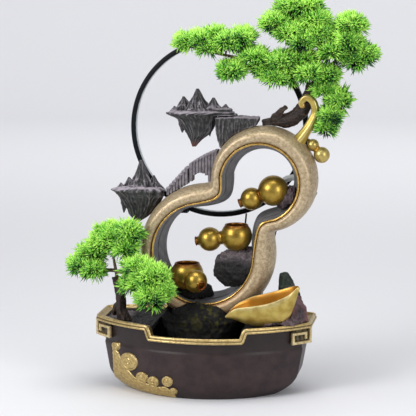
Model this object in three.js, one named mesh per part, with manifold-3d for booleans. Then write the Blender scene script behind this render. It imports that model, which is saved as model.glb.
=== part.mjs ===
// Tabletop water fountain: a gourd-shaped ring on a dark basin, three gold pots that pour into
// each other, rock islands, two small pines and a round light behind the ring.
// Millimetres, +Z up, the front faces -Y. The origin is on the flat underside of the basin.
import * as THREE from "three";
import { mergeVertices } from "three/addons/utils/BufferGeometryUtils.js";
import Module from "manifold-3d";

const wasm = await Module();
wasm.setup();

// Driving dimensions
const GAP = 0.3; // left between pieces that touch
const smallestDetail = 0.03; // edges shorter than this are taken out after cutting
const FIT = 0.45; // left around a piece that is cut to take its neighbour
const basinSize = {
  halfWidth: 138, // over the rim, at its two front corners
  cornerY: -25, // where the front arc meets the straight ends
  frontArc: 183, // radius of the front of the rim, in plan
  endY: 30, // where the straight ends meet the back arc
  backArc: 444, // radius of the back of the rim, in plan
  centreY: -31, // the walls lean in towards this line
  wallTop: 88,
  wall: 5,
  floor: 5,
  notchHalf: 62, // half the width of the lowered middle of the front
  notchDrop: 12.5,
};
const ring = { front: -30, back: 17, throat: 10 }; // throat: how much smaller the back opening is
const innerOutline = {
  low: { x: -0.5, z: 174, r: 63, from: -10, to: 108 },
  high: { x: 70, z: 264, r: 48, from: 171, to: -67 },
  left: { x: 24, z: 243 },
  right: { x: 67, z: 215 },
};
const outerOutline = {
  low: { x: 3, z: 174, r: 86, from: 10, to: 95 },
  high: { x: 74, z: 267, r: 66.5, from: 176, to: -71 },
  left: { x: 7, z: 261 },
  right: { x: 86, z: 202 },
};
const neckMiddle = { x: 44, z: 229 };
const outlineSteps = { low: 19, neck: 6, high: 14 };
const led = { x: 10.3, z: 325, y: 36, radius: 113, depth: 10, width: 6.8, segments: 44 };
const potSize = { wall: 2.6, sides: 12, waist: 7.5 };
const pumpAt = { x: 72, y: -10, z: 5.3 };
const pumpSize = { width: 42, height: 30, foot: 6.7, chamber: 12, nozzle: 13.5 };
const hose = { radius: 4, y: 22.4 };
const hoseEnd = [[119, 23.5, 260], [106, 24, 266], [94, 21, 262], [88, 13.5, 256], [86, 7, 253]];
const stem = { radius: 2.6, depth: 14 }; // the pines plug in with these

// Helpers
const point = (x, y, z) => new THREE.Vector3(x, y, z);
const radians = THREE.MathUtils.degToRad;
const cyclic = (list, i) => list[(i + list.length) % list.length];

// A closed geometry as a manifold-3d solid whose faces point out.
function solid(geometry) {
  const bare = geometry.clone();
  bare.deleteAttribute("normal");
  bare.deleteAttribute("uv");
  const merged = mergeVertices(bare, 1e-3);
  const corners = Array.from(merged.index.array);
  const triangles = [];
  for (let i = 0; i < corners.length; i += 3) {
    const [a, b, c] = corners.slice(i, i + 3);
    if (a !== b && b !== c && c !== a) triangles.push([a, b, c]);
  }
  const made = (faces) =>
    new wasm.Manifold(
      new wasm.Mesh({
        numProp: 3,
        vertProperties: merged.attributes.position.array,
        triVerts: new Uint32Array(faces.flat()),
      }),
    );
  const first = made(triangles);
  return first.volume() > 0 ? first : made(triangles.map(([a, b, c]) => [a, c, b]));
}

// A solid back as a geometry, without the tiny edges that cuts leave.
function geometryOf(body) {
  const mesh = body.asOriginal().simplify(smallestDetail).getMesh();
  const geometry = new THREE.BufferGeometry();
  geometry.setAttribute("position", new THREE.BufferAttribute(mesh.vertProperties, 3));
  geometry.setIndex(new THREE.BufferAttribute(mesh.triVerts, 1));
  geometry.computeVertexNormals();
  return geometry;
}

// The biggest of the separate bodies that a cut leaves.
function largest(body) {
  return body.decompose().reduce((best, one) => (one.volume() > best.volume() ? one : best));
}

function joined(bodies) {
  return bodies.reduce((all, body) => all.add(body));
}

// Smooth irregularity between about -1 and 1, the same for the same place and seed.
function unevenness(p, seed) {
  const a = Math.sin(p.x * 1.7 + seed) * Math.cos(p.y * 2.3 - seed * 1.3);
  const b = Math.sin(p.z * 2.9 + seed * 0.7) * Math.cos(p.x * 3.1 + p.y * 1.9);
  return 0.6 * a + 0.5 * b;
}

// A tube-like skin with capped ends: place(i, j, onSkin) gives each point, i around and j along.
function skin(around, rows, place) {
  const geometry = new THREE.CylinderGeometry(1, 1, 1, around, rows);
  const at = geometry.attributes.position;
  for (let k = 0; k < at.count; k++) {
    const turn = Math.atan2(at.getX(k), at.getZ(k)) / (2 * Math.PI);
    const i = (Math.round(turn * around) + around) % around;
    const j = Math.round((0.5 - at.getY(k)) * rows);
    const onSkin = Math.hypot(at.getX(k), at.getZ(k)) > 0.5;
    at.setXYZ(k, ...place(i, j, onSkin).toArray());
  }
  return geometry;
}

// A skin that closes on itself both ways: place(i, j), i along the loop and j round the section.
function loop(along, around, place) {
  const geometry = new THREE.TorusGeometry(2, 1, around, along);
  const at = geometry.attributes.position;
  const uv = geometry.attributes.uv;
  for (let k = 0; k < at.count; k++) {
    const i = Math.round(uv.getX(k) * along) % along;
    const j = Math.round(uv.getY(k) * around) % around;
    at.setXYZ(k, ...place(i, j).toArray());
  }
  return geometry;
}

// A tapering round limb along a smooth curve through the points; radii follow it evenly.
function limb(points, radii, sides, rows, extra = 0) {
  const curve = new THREE.CatmullRomCurve3(points);
  const frames = curve.computeFrenetFrames(rows, false);
  const geometry = skin(sides, rows, (i, j, onSkin) => {
    const centre = curve.getPointAt(j / rows);
    if (!onSkin) return centre;
    const step = (j / rows) * (radii.length - 1);
    const low = Math.min(Math.floor(step), radii.length - 2);
    const radius = THREE.MathUtils.lerp(radii[low], radii[low + 1], step - low) + extra;
    const turn = (i / sides) * 2 * Math.PI;
    return centre
      .addScaledVector(frames.normals[j], radius * Math.cos(turn))
      .addScaledVector(frames.binormals[j], radius * Math.sin(turn));
  });
  return solid(geometry);
}

// A box between two corners.
function block(low, high) {
  const size = high.clone().sub(low);
  const middle = low.clone().add(high).multiplyScalar(0.5);
  return solid(new THREE.BoxGeometry(size.x, size.y, size.z).translate(...middle.toArray()));
}

// A cylinder along Z ("z"), Y ("y") or X ("x"), centred on a point.
function rod(axis, centre, radius, length, sides = 16) {
  const geometry = new THREE.CylinderGeometry(radius, radius, length, sides);
  if (axis === "z") geometry.rotateX(Math.PI / 2);
  if (axis === "x") geometry.rotateZ(Math.PI / 2);
  return solid(geometry.translate(...centre.toArray()));
}

// A rough lump of rock or a pad of needles.
function lump(centre, radii, seed, detail = 2, rough = 0.14) {
  const geometry = new THREE.IcosahedronGeometry(1, detail);
  const at = geometry.attributes.position;
  for (let k = 0; k < at.count; k++) {
    const out = point(at.getX(k), at.getY(k), at.getZ(k));
    const swell = 1 + rough * unevenness(out.clone().multiplyScalar(1.6), seed);
    at.setXYZ(k, ...out.multiply(radii).multiplyScalar(swell).add(centre).toArray());
  }
  return solid(geometry);
}

// A craggy cone from its foot to its tip, which may lean and may point down.
function crag(foot, tip, radius, seed, sides = 6) {
  const rows = 2;
  const geometry = skin(sides, rows, (i, j, onSkin) => {
    const up = 1 - j / rows;
    const centre = foot.clone().lerp(tip, up);
    if (!onSkin) return centre;
    const turn = (i / sides) * 2 * Math.PI;
    const width = radius * (1 - 0.93 * up ** 0.8);
    const swell = 1 + 0.22 * unevenness(point(Math.cos(turn), Math.sin(turn), 2 * up), seed);
    return centre.add(point(Math.cos(turn), Math.sin(turn), 0).multiplyScalar(width * swell));
  });
  return solid(geometry);
}

// Materials
const finish = (color, roughness, metalness = 0) =>
  new THREE.MeshStandardMaterial({ color, roughness, metalness });
const look = {
  basin: finish(0x33211f, 0.45),
  antiqueGold: finish(0xb89150, 0.38, 0.8),
  champagne: finish(0xa98c5f, 0.4, 0.6),
  brightGold: finish(0xd8ae4c, 0.25, 0.9),
  liner: finish(0x6f6d6a, 0.6),
  rock: finish(0x45434a, 0.75),
  darkRock: finish(0x1f1d1c, 0.7),
  gold: finish(0xc59b3c, 0.3, 0.85),
  wood: finish(0x2a1a14, 0.65),
  branch: finish(0x5b4a38, 0.8),
  needles: finish(0x6fae2c, 0.7),
  housing: finish(0x141516, 0.4),
  diffuser: finish(0xc8cdd0, 0.5),
  screw: finish(0x9a9a98, 0.35, 0.9),
  pump: finish(0x1b1c1f, 0.5),
  impeller: finish(0xd9dade, 0.45),
  shaft: finish(0xe8e6df, 0.3),
  rubber: finish(0x2b2b2b, 0.85),
  tube: finish(0xbfc6c2, 0.35),
};

const fountain = new THREE.Group();

function addTo(group, name, body, material) {
  const mesh = new THREE.Mesh(geometryOf(body), material);
  mesh.name = name;
  group.add(mesh);
}
const add = (name, body, material) => addTo(fountain, name, body, material);

// Basin

// The rim in plan: front arc, straight ends and a flatter back arc, counter-clockwise from the
// right front corner; the ends of the front notch are always among the points.
function rimPlan() {
  const b = basinSize;
  const frontCentre = b.cornerY + Math.sqrt(b.frontArc ** 2 - b.halfWidth ** 2);
  const backCentre = b.endY - Math.sqrt(b.backArc ** 2 - b.halfWidth ** 2);
  const onFront = (x) => new THREE.Vector2(x, frontCentre - Math.sqrt(b.frontArc ** 2 - x * x));
  const onBack = (x) => new THREE.Vector2(x, backCentre + Math.sqrt(b.backArc ** 2 - x * x));
  const sideSteps = 5;
  const middleSteps = 6;
  const spread = (from, to, steps) =>
    Array.from({ length: steps }, (_, i) => THREE.MathUtils.lerp(from, to, i / steps));
  const front = [
    ...spread(-b.halfWidth, -b.notchHalf, sideSteps),
    ...spread(-b.notchHalf, b.notchHalf, middleSteps),
    ...spread(b.notchHalf, b.halfWidth, sideSteps),
  ];
  const back = [...spread(b.halfWidth, -b.halfWidth, 8), -b.halfWidth];
  return [...front.map(onFront), onFront(b.halfWidth), ...back.map(onBack)];
}
const plan = rimPlan();

// How far out the wall stands at a height, as a part of the rim's size.
function wallScale(z) {
  const rise = Math.min(z / 89, 1);
  const tuckedIn = 0.175 * Math.max(0, 1 - z / 30) ** 2.4;
  return 0.95 - 0.115 * (1 - rise) - tuckedIn;
}

// A point of the wall at a height, moved out from the wall's outside by some millimetres.
function wallPoint(place, z, out = 0) {
  const b = basinSize;
  const across = wallScale(z) + out / b.halfWidth;
  const reach = b.centreY - (b.cornerY + Math.sqrt(b.frontArc ** 2 - b.halfWidth ** 2) - b.frontArc);
  const deep = wallScale(z) + out / reach;
  return point(place.x * across, b.centreY + (place.y - b.centreY) * deep, z);
}

// A solid bounded by the wall's outside, from one height to another.
function wallBlank(heights, out) {
  const rows = heights.length - 1;
  const geometry = skin(plan.length, rows, (i, j, onSkin) =>
    onSkin
      ? wallPoint(plan[i], heights[j], out)
      : point(0, basinSize.centreY, heights[j]),
  );
  return solid(geometry);
}

const glandAt = { x: 62, y: 31.7, z: 24 };

function basin() {
  const b = basinSize;
  const outside = [0, 2, 5, 10, 18, 30, b.wallTop];
  const inside = [b.floor, 10, 18, 30, b.wallTop + 1];
  const notch = block(
    point(-b.notchHalf, -100, b.wallTop - b.notchDrop),
    point(b.notchHalf, -40, b.wallTop + 1),
  );
  const gland = rod("y", point(glandAt.x, glandAt.y, glandAt.z), 4 + FIT, 40, 12);
  return wallBlank(outside, 0).subtract(wallBlank(inside, -b.wall)).subtract(notch).subtract(gland);
}

// The gold moulding on the wall: it follows the rim, and steps down and up at the notch.
function rimTrim() {
  const b = basinSize;
  const section = [
    [-5, GAP], [-5, 3.6], [1, 5], [6.4, 4.4], [7, 1.4], [5, -1.4], [0.6, -1.4], [0.6, GAP],
  ];
  const lowered = (p) => Math.abs(p.x) < b.notchHalf - 0.1 && p.y < 0;
  const atStep = (p) => Math.abs(Math.abs(p.x) - b.notchHalf) < 0.1 && p.y < 0;
  const stations = [];
  plan.forEach((p, i) => {
    const before = cyclic(plan, i - 1);
    const after = cyclic(plan, i + 1);
    const out = new THREE.Vector2(after.y - before.y, before.x - after.x).normalize();
    const high = { p, out, z: b.wallTop, lean: 0 };
    const low = { p, out, z: b.wallTop - b.notchDrop, lean: 0 };
    const inward = -Math.sign(p.x);
    if (atStep(p)) {
      const pair = [{ ...high, lean: inward }, { ...low, lean: inward }];
      stations.push(...(p.x < 0 ? pair : pair.reverse()));
    } else {
      stations.push(lowered(p) ? low : high);
    }
  });
  const geometry = loop(stations.length, section.length, (i, j) => {
    const { p, out, z, lean } = stations[i];
    const [a, up] = section[j];
    const foot = wallPoint(p, b.wallTop);
    return foot.add(point(out.x * a + lean * up, out.y * a, z - b.wallTop + up));
  });
  return solid(geometry);
}

// A square spiral that hangs from the moulding at one end of the front arc: down the corner,
// along, up, back along and a short way down.
function fret(side) {
  const bar = 4;
  const width = 30;
  const top = basinSize.wallTop - 1.8;
  const height = 19;
  const step = 3.4;
  const thick = 4;
  const inside = bar + step;
  const bars = [
    [0, 0, bar, height],
    [0, 0, width, bar],
    [width - bar, 0, width, height - step],
    [inside, height - step - bar, width, height - step],
    [inside, bar + 2, inside + bar, height - step],
  ];
  const body = joined(bars.map(([x0, z0, x1, z1]) => block(point(x0, 0, z0), point(x1, thick, z1))));
  const b = basinSize;
  const centre = b.cornerY + Math.sqrt(b.frontArc ** 2 - b.halfWidth ** 2);
  const corner = Math.asin((b.halfWidth - 0.5) / b.frontArc);
  const geometry = geometryOf(body);
  const at = geometry.attributes.position;
  for (let k = 0; k < at.count; k++) {
    const turn = corner - at.getX(k) / b.frontArc;
    const radius = b.frontArc - 0.5 - at.getY(k);
    const z = top - height + at.getZ(k);
    at.setXYZ(k, side * radius * Math.sin(turn), centre - radius * Math.cos(turn), z);
  }
  return solid(geometry);
}

// Rolling waves in relief, low on the left of the front: overlapping round crests.
function waveRelief() {
  const crests = [
    [-105, 52, 9], [-94, 40, 12], [-80, 27, 13], [-66, 16, 12.5], [-53, 12, 11], [-39, 20, 9],
    [-40, 8, 6.5],
  ];
  const outline = joined(crests.map(([x, z, r]) => rod("y", point(x, -60, z), r, 80, 14)));
  const front = wallBlank([1.5, 5, 10, 18, 30, 64], 3.8);
  const wall = wallBlank([0, 2, 5, 10, 18, 30, 70], 0.8);
  return outline.intersect(front.subtract(wall));
}

// A flat deck inside the wall between two values of x.
function deck(fromX, toX) {
  const top = basinSize.wallTop - 0.5;
  const slab = wallBlank([top - 5, top], -basinSize.wall - 1);
  return slab.intersect(block(point(fromX, -100, top - 6), point(toX, 60, top + 1)));
}

// The gourd-shaped ring

function outlinePoints(outline, grow = 0) {
  const { low, high, left, right } = outline;
  const arc = (c, from, to) =>
    new THREE.EllipseCurve(c.x, c.z, c.r + grow, c.r + grow, radians(from), radians(to), true);
  const lowArc = arc(low, low.from, low.to - 360);
  const highArc = arc(high, high.from, high.to);
  const neck = (from, c, to) => {
    const corner = new THREE.Vector2(c.x, c.z);
    return new THREE.CubicBezierCurve(from.getPoint(1), corner, corner, to.getPoint(0));
  };
  const pieces = [
    [lowArc, outlineSteps.low],
    [neck(lowArc, left, highArc), outlineSteps.neck],
    [highArc, outlineSteps.high],
    [neck(highArc, right, lowArc), outlineSteps.neck],
  ];
  return pieces.flatMap(([curve, steps]) => curve.getPoints(steps).slice(0, -1));
}
const inner = outlinePoints(innerOutline);
const outer = outlinePoints(outerOutline);

// A point of the ring at station i: part is 0 on the inner outline and 1 on the outer one.
function ringPoint(i, part, extra, y) {
  const out = cyclic(outer, i).clone().sub(cyclic(inner, i));
  const place = cyclic(inner, i)
    .clone()
    .addScaledVector(out, part)
    .addScaledVector(out.clone().normalize(), extra);
  return point(place.x, y, place.y);
}

// A band that runs all the way round: each section point is [part, extra, y].
function ringBand(section) {
  return solid(
    loop(inner.length, section.length, (i, j) => ringPoint(i, ...section[j])),
  );
}

function frameBand() {
  return ringBand([
    [0, 3.6, -19], [0, 3.4, -26], [0.34, 0, ring.front], [0.64, 0, -29], [0.9, 0, -19],
    [1, 0, -5], [0.93, 0, 8], [0.72, 0, 15.5], [0.5, 0, ring.back], [0, 3.6, ring.back],
  ]);
}

function linerBand() {
  return ringBand([
    [0, 0.2, -20.5], [0, 3.3, -20.5], [0, 3.3, ring.back], [0, -ring.throat, ring.back],
  ]);
}

function beadBand() {
  const sides = 6;
  const corners = Array.from({ length: sides }, (_, k) => {
    const turn = (k / sides) * 2 * Math.PI;
    return [0, 0.9 + 2 * Math.cos(turn), -23.4 + 2 * Math.sin(turn)];
  });
  return ringBand(corners);
}

// The whole ring filled in, a little larger: what stands around it is cut with this.
function ringBlank(clear) {
  const edge = outlinePoints(outerOutline, clear);
  return solid(
    skin(edge.length, 1, (i, j, onSkin) => {
      const y = j ? ring.back + clear : ring.front - clear;
      return onSkin ? point(edge[i].x, y, edge[i].y) : point(neckMiddle.x, y, neckMiddle.z);
    }),
  );
}

// The space inside the ring, a little smaller: what stands inside it is trimmed to this.
function ringThroat(clear) {
  return solid(
    skin(inner.length, 1, (i, j, onSkin) => {
      const y = j ? ring.back : -20.5;
      const narrow = j ? -ring.throat - clear : -clear;
      return onSkin ? ringPoint(i, 0, narrow, y) : point(neckMiddle.x, y, neckMiddle.z);
    }),
  );
}

// A screw that enters the ring from behind.
function screw(at) {
  const head = rod("y", point(at.x, at.y + 1.1, at.z), 3, 1.6, 10);
  return head.add(rod("y", point(at.x, at.y - 4, at.z), 1.5, 9.2, 8));
}
const screwHole = (at) => rod("y", point(at.x, at.y - 3, at.z), 1.9, 13, 10);

// Stations of the ring that the hose cover runs along, up the right and past the neck, with
// a number of extra ones at each end.
function coverStations(extra) {
  const upLobe = Array.from({ length: 3 + extra }, (_, k) => 2 + extra - k);
  const pastNeck = Array.from({ length: outlineSteps.neck + 3 + extra }, (_, k) => -1 - k);
  return [...upLobe, ...pastNeck];
}
const coverLine = coverStations(0);

// A strip behind the ring along some stations, its half width and its front and back given.
function coverStrip(stations, half, front, back) {
  const section = [[-half, front], [half, front], [half, back], [-half, back]];
  return solid(
    skin(section.length, stations.length - 1, (i, j, onSkin) => {
      const [across, y] = onSkin ? section[i] : [0, (front + back) / 2];
      return ringPoint(stations[j], 0.5, across, y);
    }),
  );
}

function hoseCover() {
  const channel = coverStrip(coverStations(1), 6.2, ring.back - 1, 27.7);
  return largest(coverStrip(coverLine, 9, ring.back + GAP, 30).subtract(channel));
}

// Pots

// A gourd-shaped pot: a big and a small ball on one axis and a short spout, along its own +Z.
function potShape({ big, small, apart, mouth, spout }, extra = 0) {
  const cross = (apart ** 2 + big ** 2 - small ** 2) / (2 * apart);
  const meeting = Math.sqrt(Math.max(0, big ** 2 - cross ** 2)) + 0.05;
  const waist = Math.max(potSize.waist, meeting);
  const profile = new THREE.Path();
  profile.absarc(0, 0, big + extra, -Math.PI / 2, Math.acos(waist / big), false);
  profile.absarc(0, apart, small + extra, -Math.acos(waist / small), Math.PI / 2 - 0.42, false);
  profile.lineTo(spout + extra, mouth - 1);
  profile.lineTo(spout + extra, mouth + extra);
  profile.lineTo(0, mouth + extra);
  const points = profile.getPoints(4);
  points[0].x = 0;
  const lathe = new THREE.LatheGeometry(points, potSize.sides);
  return lathe.rotateX(Math.PI / 2);
}

// The pot turned so that its spout points along a direction, with its big ball at a centre.
function potSolid(pot, extra = 0) {
  const turn = new THREE.Quaternion().setFromUnitVectors(
    point(0, 0, 1),
    pot.towards.clone().normalize(),
  );
  const geometry = potShape(pot, extra).applyQuaternion(turn);
  return solid(geometry.translate(...pot.centre.toArray()));
}

// The hollow of an open pot: a ball, the round opening on top and the bore to the spout.
function potHollow(pot) {
  const ball = new THREE.SphereGeometry(pot.big - potSize.wall, 11, 7).rotateX(Math.PI / 2);
  const inside = solid(ball.translate(...pot.centre.toArray()));
  const rise = pot.centre.clone().add(point(0, 0, pot.big));
  return inside.add(rod("z", rise, pot.opening, 2 * pot.big - 8, 13)).add(potBore(pot));
}

function potBore(pot) {
  const along = pot.towards.clone().normalize();
  const reach = pot.mouth + 4;
  const tube = new THREE.CylinderGeometry(pot.bore, pot.bore, reach, 9);
  const turn = new THREE.Quaternion().setFromUnitVectors(point(0, 1, 0), along);
  const middle = pot.centre.clone().addScaledVector(along, reach / 2);
  return solid(tube.applyQuaternion(turn).translate(...middle.toArray()));
}

const pots = {
  top: {
    centre: point(85, -6, 253), towards: point(-27, 0, -11), big: 19, small: 14, apart: 29,
    mouth: 45.5, spout: 5, bore: 3.2,
  },
  middle: {
    centre: point(39, -6, 195), towards: point(-34, 0, -5.5), big: 19.5, small: 15, apart: 34,
    mouth: 52, spout: 5, bore: 3.2, opening: 12,
  },
  low: {
    centre: point(-23, -8, 144.5), towards: point(16, -21, -5.5), big: 20.5, small: 14.5,
    apart: 24, mouth: 41, spout: 5, bore: 3.2, opening: 13,
  },
};

// The hole in the back of the top pot that the end of the hose pushes into
function hosePort() {
  const way = hoseEnd.slice(-4).map((p) => point(...p));
  const [before, last] = way.slice(-2);
  way.push(last.clone().addScaledVector(last.clone().sub(before), 0.3));
  return limb(way, [hose.radius, hose.radius], 12, 6, 2 * FIT);
}

// Rocks inside the ring that carry the pots
function potRock(centre, radii, seed, pot) {
  const rough = lump(centre, radii, seed, 1, 0.2);
  return rough.intersect(ringThroat(0.5)).subtract(potSolid(pot, FIT));
}

// The scoop-shaped bowl, spout tip at the left

const bowlLines = {
  near: [
    [34, -61.5, 104], [46, -62, 113], [63, -62, 116], [80, -62, 119], [96, -61, 124],
    [112, -56, 132], [122, -48, 141],
  ],
  far: [
    [34, -59, 104], [45, -45, 115], [62, -33.5, 123], [80, -32, 128], [97, -32, 133],
    [114, -36, 139], [122, -46, 142],
  ],
  keel: [
    [34, -60, 102], [46, -55, 99], [60, -50, 93.5], [76, -47, 91], [94, -46, 94],
    [112, -46, 103], [124, -47, 139],
  ],
};

function bowlPoint(u, turn, shrink) {
  const on = (name) => new THREE.CatmullRomCurve3(bowlLines[name].map((p) => point(...p))).getPoint(u);
  const near = on("near");
  const middle = near.clone().add(on("far")).multiplyScalar(0.5);
  const side = near.sub(middle).multiplyScalar(shrink * Math.cos(turn));
  const drop = on("keel").sub(middle).multiplyScalar(shrink * Math.sin(turn));
  return middle.clone().add(side).add(drop);
}

function scoopBowl(extra = 0) {
  const half = 7;
  const rows = 12;
  const blend = (u) => 1 - 0.14 * Math.sin(Math.PI * THREE.MathUtils.clamp(u, 0.02, 0.98)) ** 0.5;
  return solid(
    skin(2 * half, rows, (i, j, onSkin) => {
      const u = j / rows;
      if (!onSkin) return bowlPoint(u, Math.PI / 2, 0.97);
      const outside = i < half;
      const turn = Math.PI * ((outside ? i : 2 * half - 1 - i) / (half - 1));
      return bowlPoint(u, turn, outside ? 1 + extra : blend(u));
    }),
  );
}

// Hanging islands, stairs and bridge on the left of the ring

// A floating island: each row of its craggy body is [z, left, right, half depth].
function islandBody(rows, middleY, seed) {
  const sides = 10;
  const last = rows.length - 1;
  return solid(
    skin(sides, last, (i, j, onSkin) => {
      const [z, left, right, deep] = rows[j];
      const centre = point((left + right) / 2, middleY, z);
      if (!onSkin) return centre;
      const turn = (i / sides) * 2 * Math.PI;
      const edge = point(Math.cos(turn) * (right - left) * 0.5, Math.sin(turn) * deep, 0);
      const swell = 1 + 0.1 * unevenness(point(Math.cos(turn) * 2, Math.sin(turn) * 2, z / 9), seed);
      return centre.add(edge.multiplyScalar(Math.min(swell, 1.02)));
    }),
  );
}

function upperIsland() {
  const body = islandBody(
    [[349, -44, 30, 19], [345, -51, 12.5, 21], [338, -38, 12, 16], [324, -28, 6, 12],
      [314, -22, -6, 8], [305, -18, -14, 3]],
    3, 1.3,
  );
  const shelf = block(point(-10, -8, 343.9), point(35, 13, 350));
  const peaks = [
    crag(point(-28, 6, 346), point(-29, 6, 367), 13, 2.1),
    crag(point(-10, 4, 346), point(-12, 4, 377), 17, 3.7),
    crag(point(9, 6, 346), point(8, 6, 367), 15, 5.2),
  ];
  return joined([body, shelf, ...peaks]);
}

function lowerIsland() {
  const body = islandBody(
    [[252, -112, -58, 18], [247, -122, -52, 21], [240, -112, -56, 17], [228, -104, -64, 12],
      [216, -98, -74, 8], [208, -92, -86, 4]],
    3, 4.1,
  );
  const peaks = [
    crag(point(-98, 5, 249), point(-99, 5, 264), 11, 2.6),
    crag(point(-83, 3, 249), point(-84, 3, 285), 15, 8.2),
    crag(point(-68, 6, 249), point(-68, 6, 268), 11, 1.9),
  ];
  return joined([body, ...peaks]);
}

function staircase() {
  const steps = 6;
  const run = 4.6;
  const rise = 5;
  const blocks = Array.from({ length: steps }, (_, k) =>
    block(point(-50 + k * run, -8, 246 + 0.6 * k * rise), point(-20, 12, 252.5 + k * rise)),
  );
  return joined(blocks);
}

function bridge() {
  const shape = new THREE.Shape();
  shape.moveTo(-19.2, 272);
  shape.lineTo(-19.2, 284);
  shape.quadraticCurveTo(-4, 296, 14, 302);
  shape.lineTo(14, 262);
  shape.lineTo(5, 262);
  shape.quadraticCurveTo(0, 273, -8, 273);
  shape.quadraticCurveTo(-13, 273, -17, 262);
  shape.lineTo(-19.2, 262);
  const geometry = new THREE.ExtrudeGeometry(shape, { depth: 20, bevelEnabled: false, curveSegments: 5 });
  return solid(geometry.rotateX(Math.PI / 2).translate(0, 12, 0));
}

function ledge() {
  const outline = [
    [19, 305], [28, 303], [60, 328], [66, 342.5], [40, 343.5], [12.5, 342], [13, 330], [15, 316],
  ];
  const shape = new THREE.Shape(outline.map(([x, z]) => new THREE.Vector2(x, z)));
  const geometry = new THREE.ExtrudeGeometry(shape, { depth: 26, bevelEnabled: false });
  return solid(geometry.rotateX(Math.PI / 2).translate(0, 16, 0));
}

// Stalk and small gourd on top of the ring

const stalkPoints = [
  [113, 311], [121, 322], [130, 336], [136, 350], [134, 363], [126, 369], [119, 363], [122, 356],
];

function stalk(extra = 0) {
  const path = stalkPoints.map(([x, z]) => point(x, -6, z));
  return limb(path, [8.5, 6.5, 5.4, 4.6, 4.2, 3.8, 3.2], 8, 16, extra);
}

function miniGourd() {
  const big = new THREE.SphereGeometry(10, 10, 7).translate(144, 0, 298);
  const small = new THREE.SphereGeometry(7.5, 10, 6).translate(133, 0, 310);
  return solid(big).add(solid(small));
}

// Driftwood, pines

const trunkTop = point(132, 6, 386);
const leftTrunkTop = point(-110, -27, 142);

function trunkLimb(extra = 0) {
  const rising = [[70, 334], [92, 337], [112, 345], [124, 362], [131, 386]];
  return limb(rising.map(([x, z]) => point(x, 6, z)), [6, 9, 9.5, 8, 6.5], 9, 12, extra);
}

function driftwood() {
  const trunk = trunkLimb();
  const knot = limb([point(84, 4, 338), point(92, 0, 350), point(101, -2, 357)], [7, 5, 2.5], 7, 4);
  const hole = rod("z", trunkTop, 3 + FIT, 2 * stem.depth + 2, 12);
  return trunk.add(knot).subtract(hole);
}

function leftTrunk() {
  const line = [[-98, -27, 82], [-104, -27, 100], [-105, -27, 120], [-110, -27, 142]];
  const spur = [[-103, -27, 112], [-112, -24, 103], [-114, -22, 92]];
  const trunk = limb(line.map((p) => point(...p)), [10, 7, 6.5, 5.5], 8, 8);
  const branch = limb(spur.map((p) => point(...p)), [5, 4, 3], 7, 4);
  const hole = rod("z", leftTrunkTop, 3 + FIT, 2 * stem.depth + 2, 12);
  const floor = block(point(-130, -60, 70), point(-70, 10, basinSize.wallTop - 0.5 + GAP));
  return trunk.add(branch).subtract(hole).subtract(floor);
}

const topLimbs = [
  [[132, 6, 373], [132, 6, 389], [124, 4, 412], [110, 2, 440], [106, 0, 468]],
  [[129, 5, 402], [104, 3, 408], [64, 0, 412], [20, -2, 420], [-14, -2, 428]],
  [[131, 6, 394], [146, 4, 402], [164, 2, 418], [176, 0, 436]],
  [[131, 6, 393], [148, 2, 390], [158, 0, 370], [156, -1, 348]],
];
const topPads = {
  foliage_top_left: [[14, -4, 434], [53, 25, 20], 1.1],
  foliage_top_middle: [[86, -4, 409], [70, 26, 21], 2.7],
  foliage_top_crown: [[114, -2, 457], [46, 26, 31], 3.9],
  foliage_top_right: [[174, -2, 436], [34, 25, 28], 5.3],
  foliage_top_low: [[158, -4, 358], [17, 20, 38], 6.8],
};
const leftLimbs = [
  [[-110, -27, 129], [-110, -27, 145], [-112, -32, 166], [-113, -34, 184]],
  [[-110, -27.5, 150], [-128, -32, 152], [-146, -36, 160]],
  [[-110, -27.5, 149], [-94, -38, 148], [-76, -45, 140], [-62, -49, 134]],
];
const leftPads = {
  foliage_left_top: [[-106, -38, 186], [36, 25, 22], 4.6],
  foliage_left_outer: [[-144, -36, 160], [22, 23, 24], 2.4],
  foliage_left_inner: [[-68, -56, 141], [32, 22, 34], 7.1],
};

function branches(lines, thick, extra = 0) {
  const limbs = lines.map((line, i) => {
    const width = i ? thick : stem.radius;
    const radii = [width, i ? thick * 0.8 : thick, thick * 0.6];
    return limb(line.map((p) => point(...p)), radii, 6, 8, extra);
  });
  return joined(limbs);
}

// Needle pads on one tree: none runs into its neighbours, the wood or the ring.
function addPads(pads, wood) {
  let taken = wood;
  for (const [name, [centre, radii, seed]] of Object.entries(pads)) {
    const pad = lump(point(...centre), point(...radii), seed, 1, 0.16);
    add(name, pad.subtract(taken), look.needles);
    taken = taken.add(lump(point(...centre), point(...radii).addScalar(FIT), seed, 1, 0.16));
  }
}

// Light behind the ring: a round section turned about the Y axis through its centre.
function ledBand(section) {
  const outline = section.map(([inwards, y]) => new THREE.Vector2(led.radius - inwards, y));
  const lathe = new THREE.LatheGeometry([...outline, outline[0]], led.segments);
  return solid(lathe.translate(led.x, led.y, led.z));
}

function ledChannel() {
  const half = led.depth / 2;
  const lip = 1.4;
  return ledBand([
    [0, -half], [0, half], [led.width - 0.8, half], [led.width - 0.8, half - lip],
    [2, half - lip], [2, lip - half], [led.width - 0.8, lip - half], [led.width - 0.8, -half],
  ]);
}

function ledDiffuser() {
  const half = led.depth / 2 - 1.4 - GAP;
  return ledBand([[2 + GAP, -half], [2 + GAP, half], [led.width, half], [led.width, -half]]);
}

const bracketPlaces = [
  { x: -33.5, z: 223, y: ring.back },
  { x: 117, z: 291, y: ring.back },
];

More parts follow.
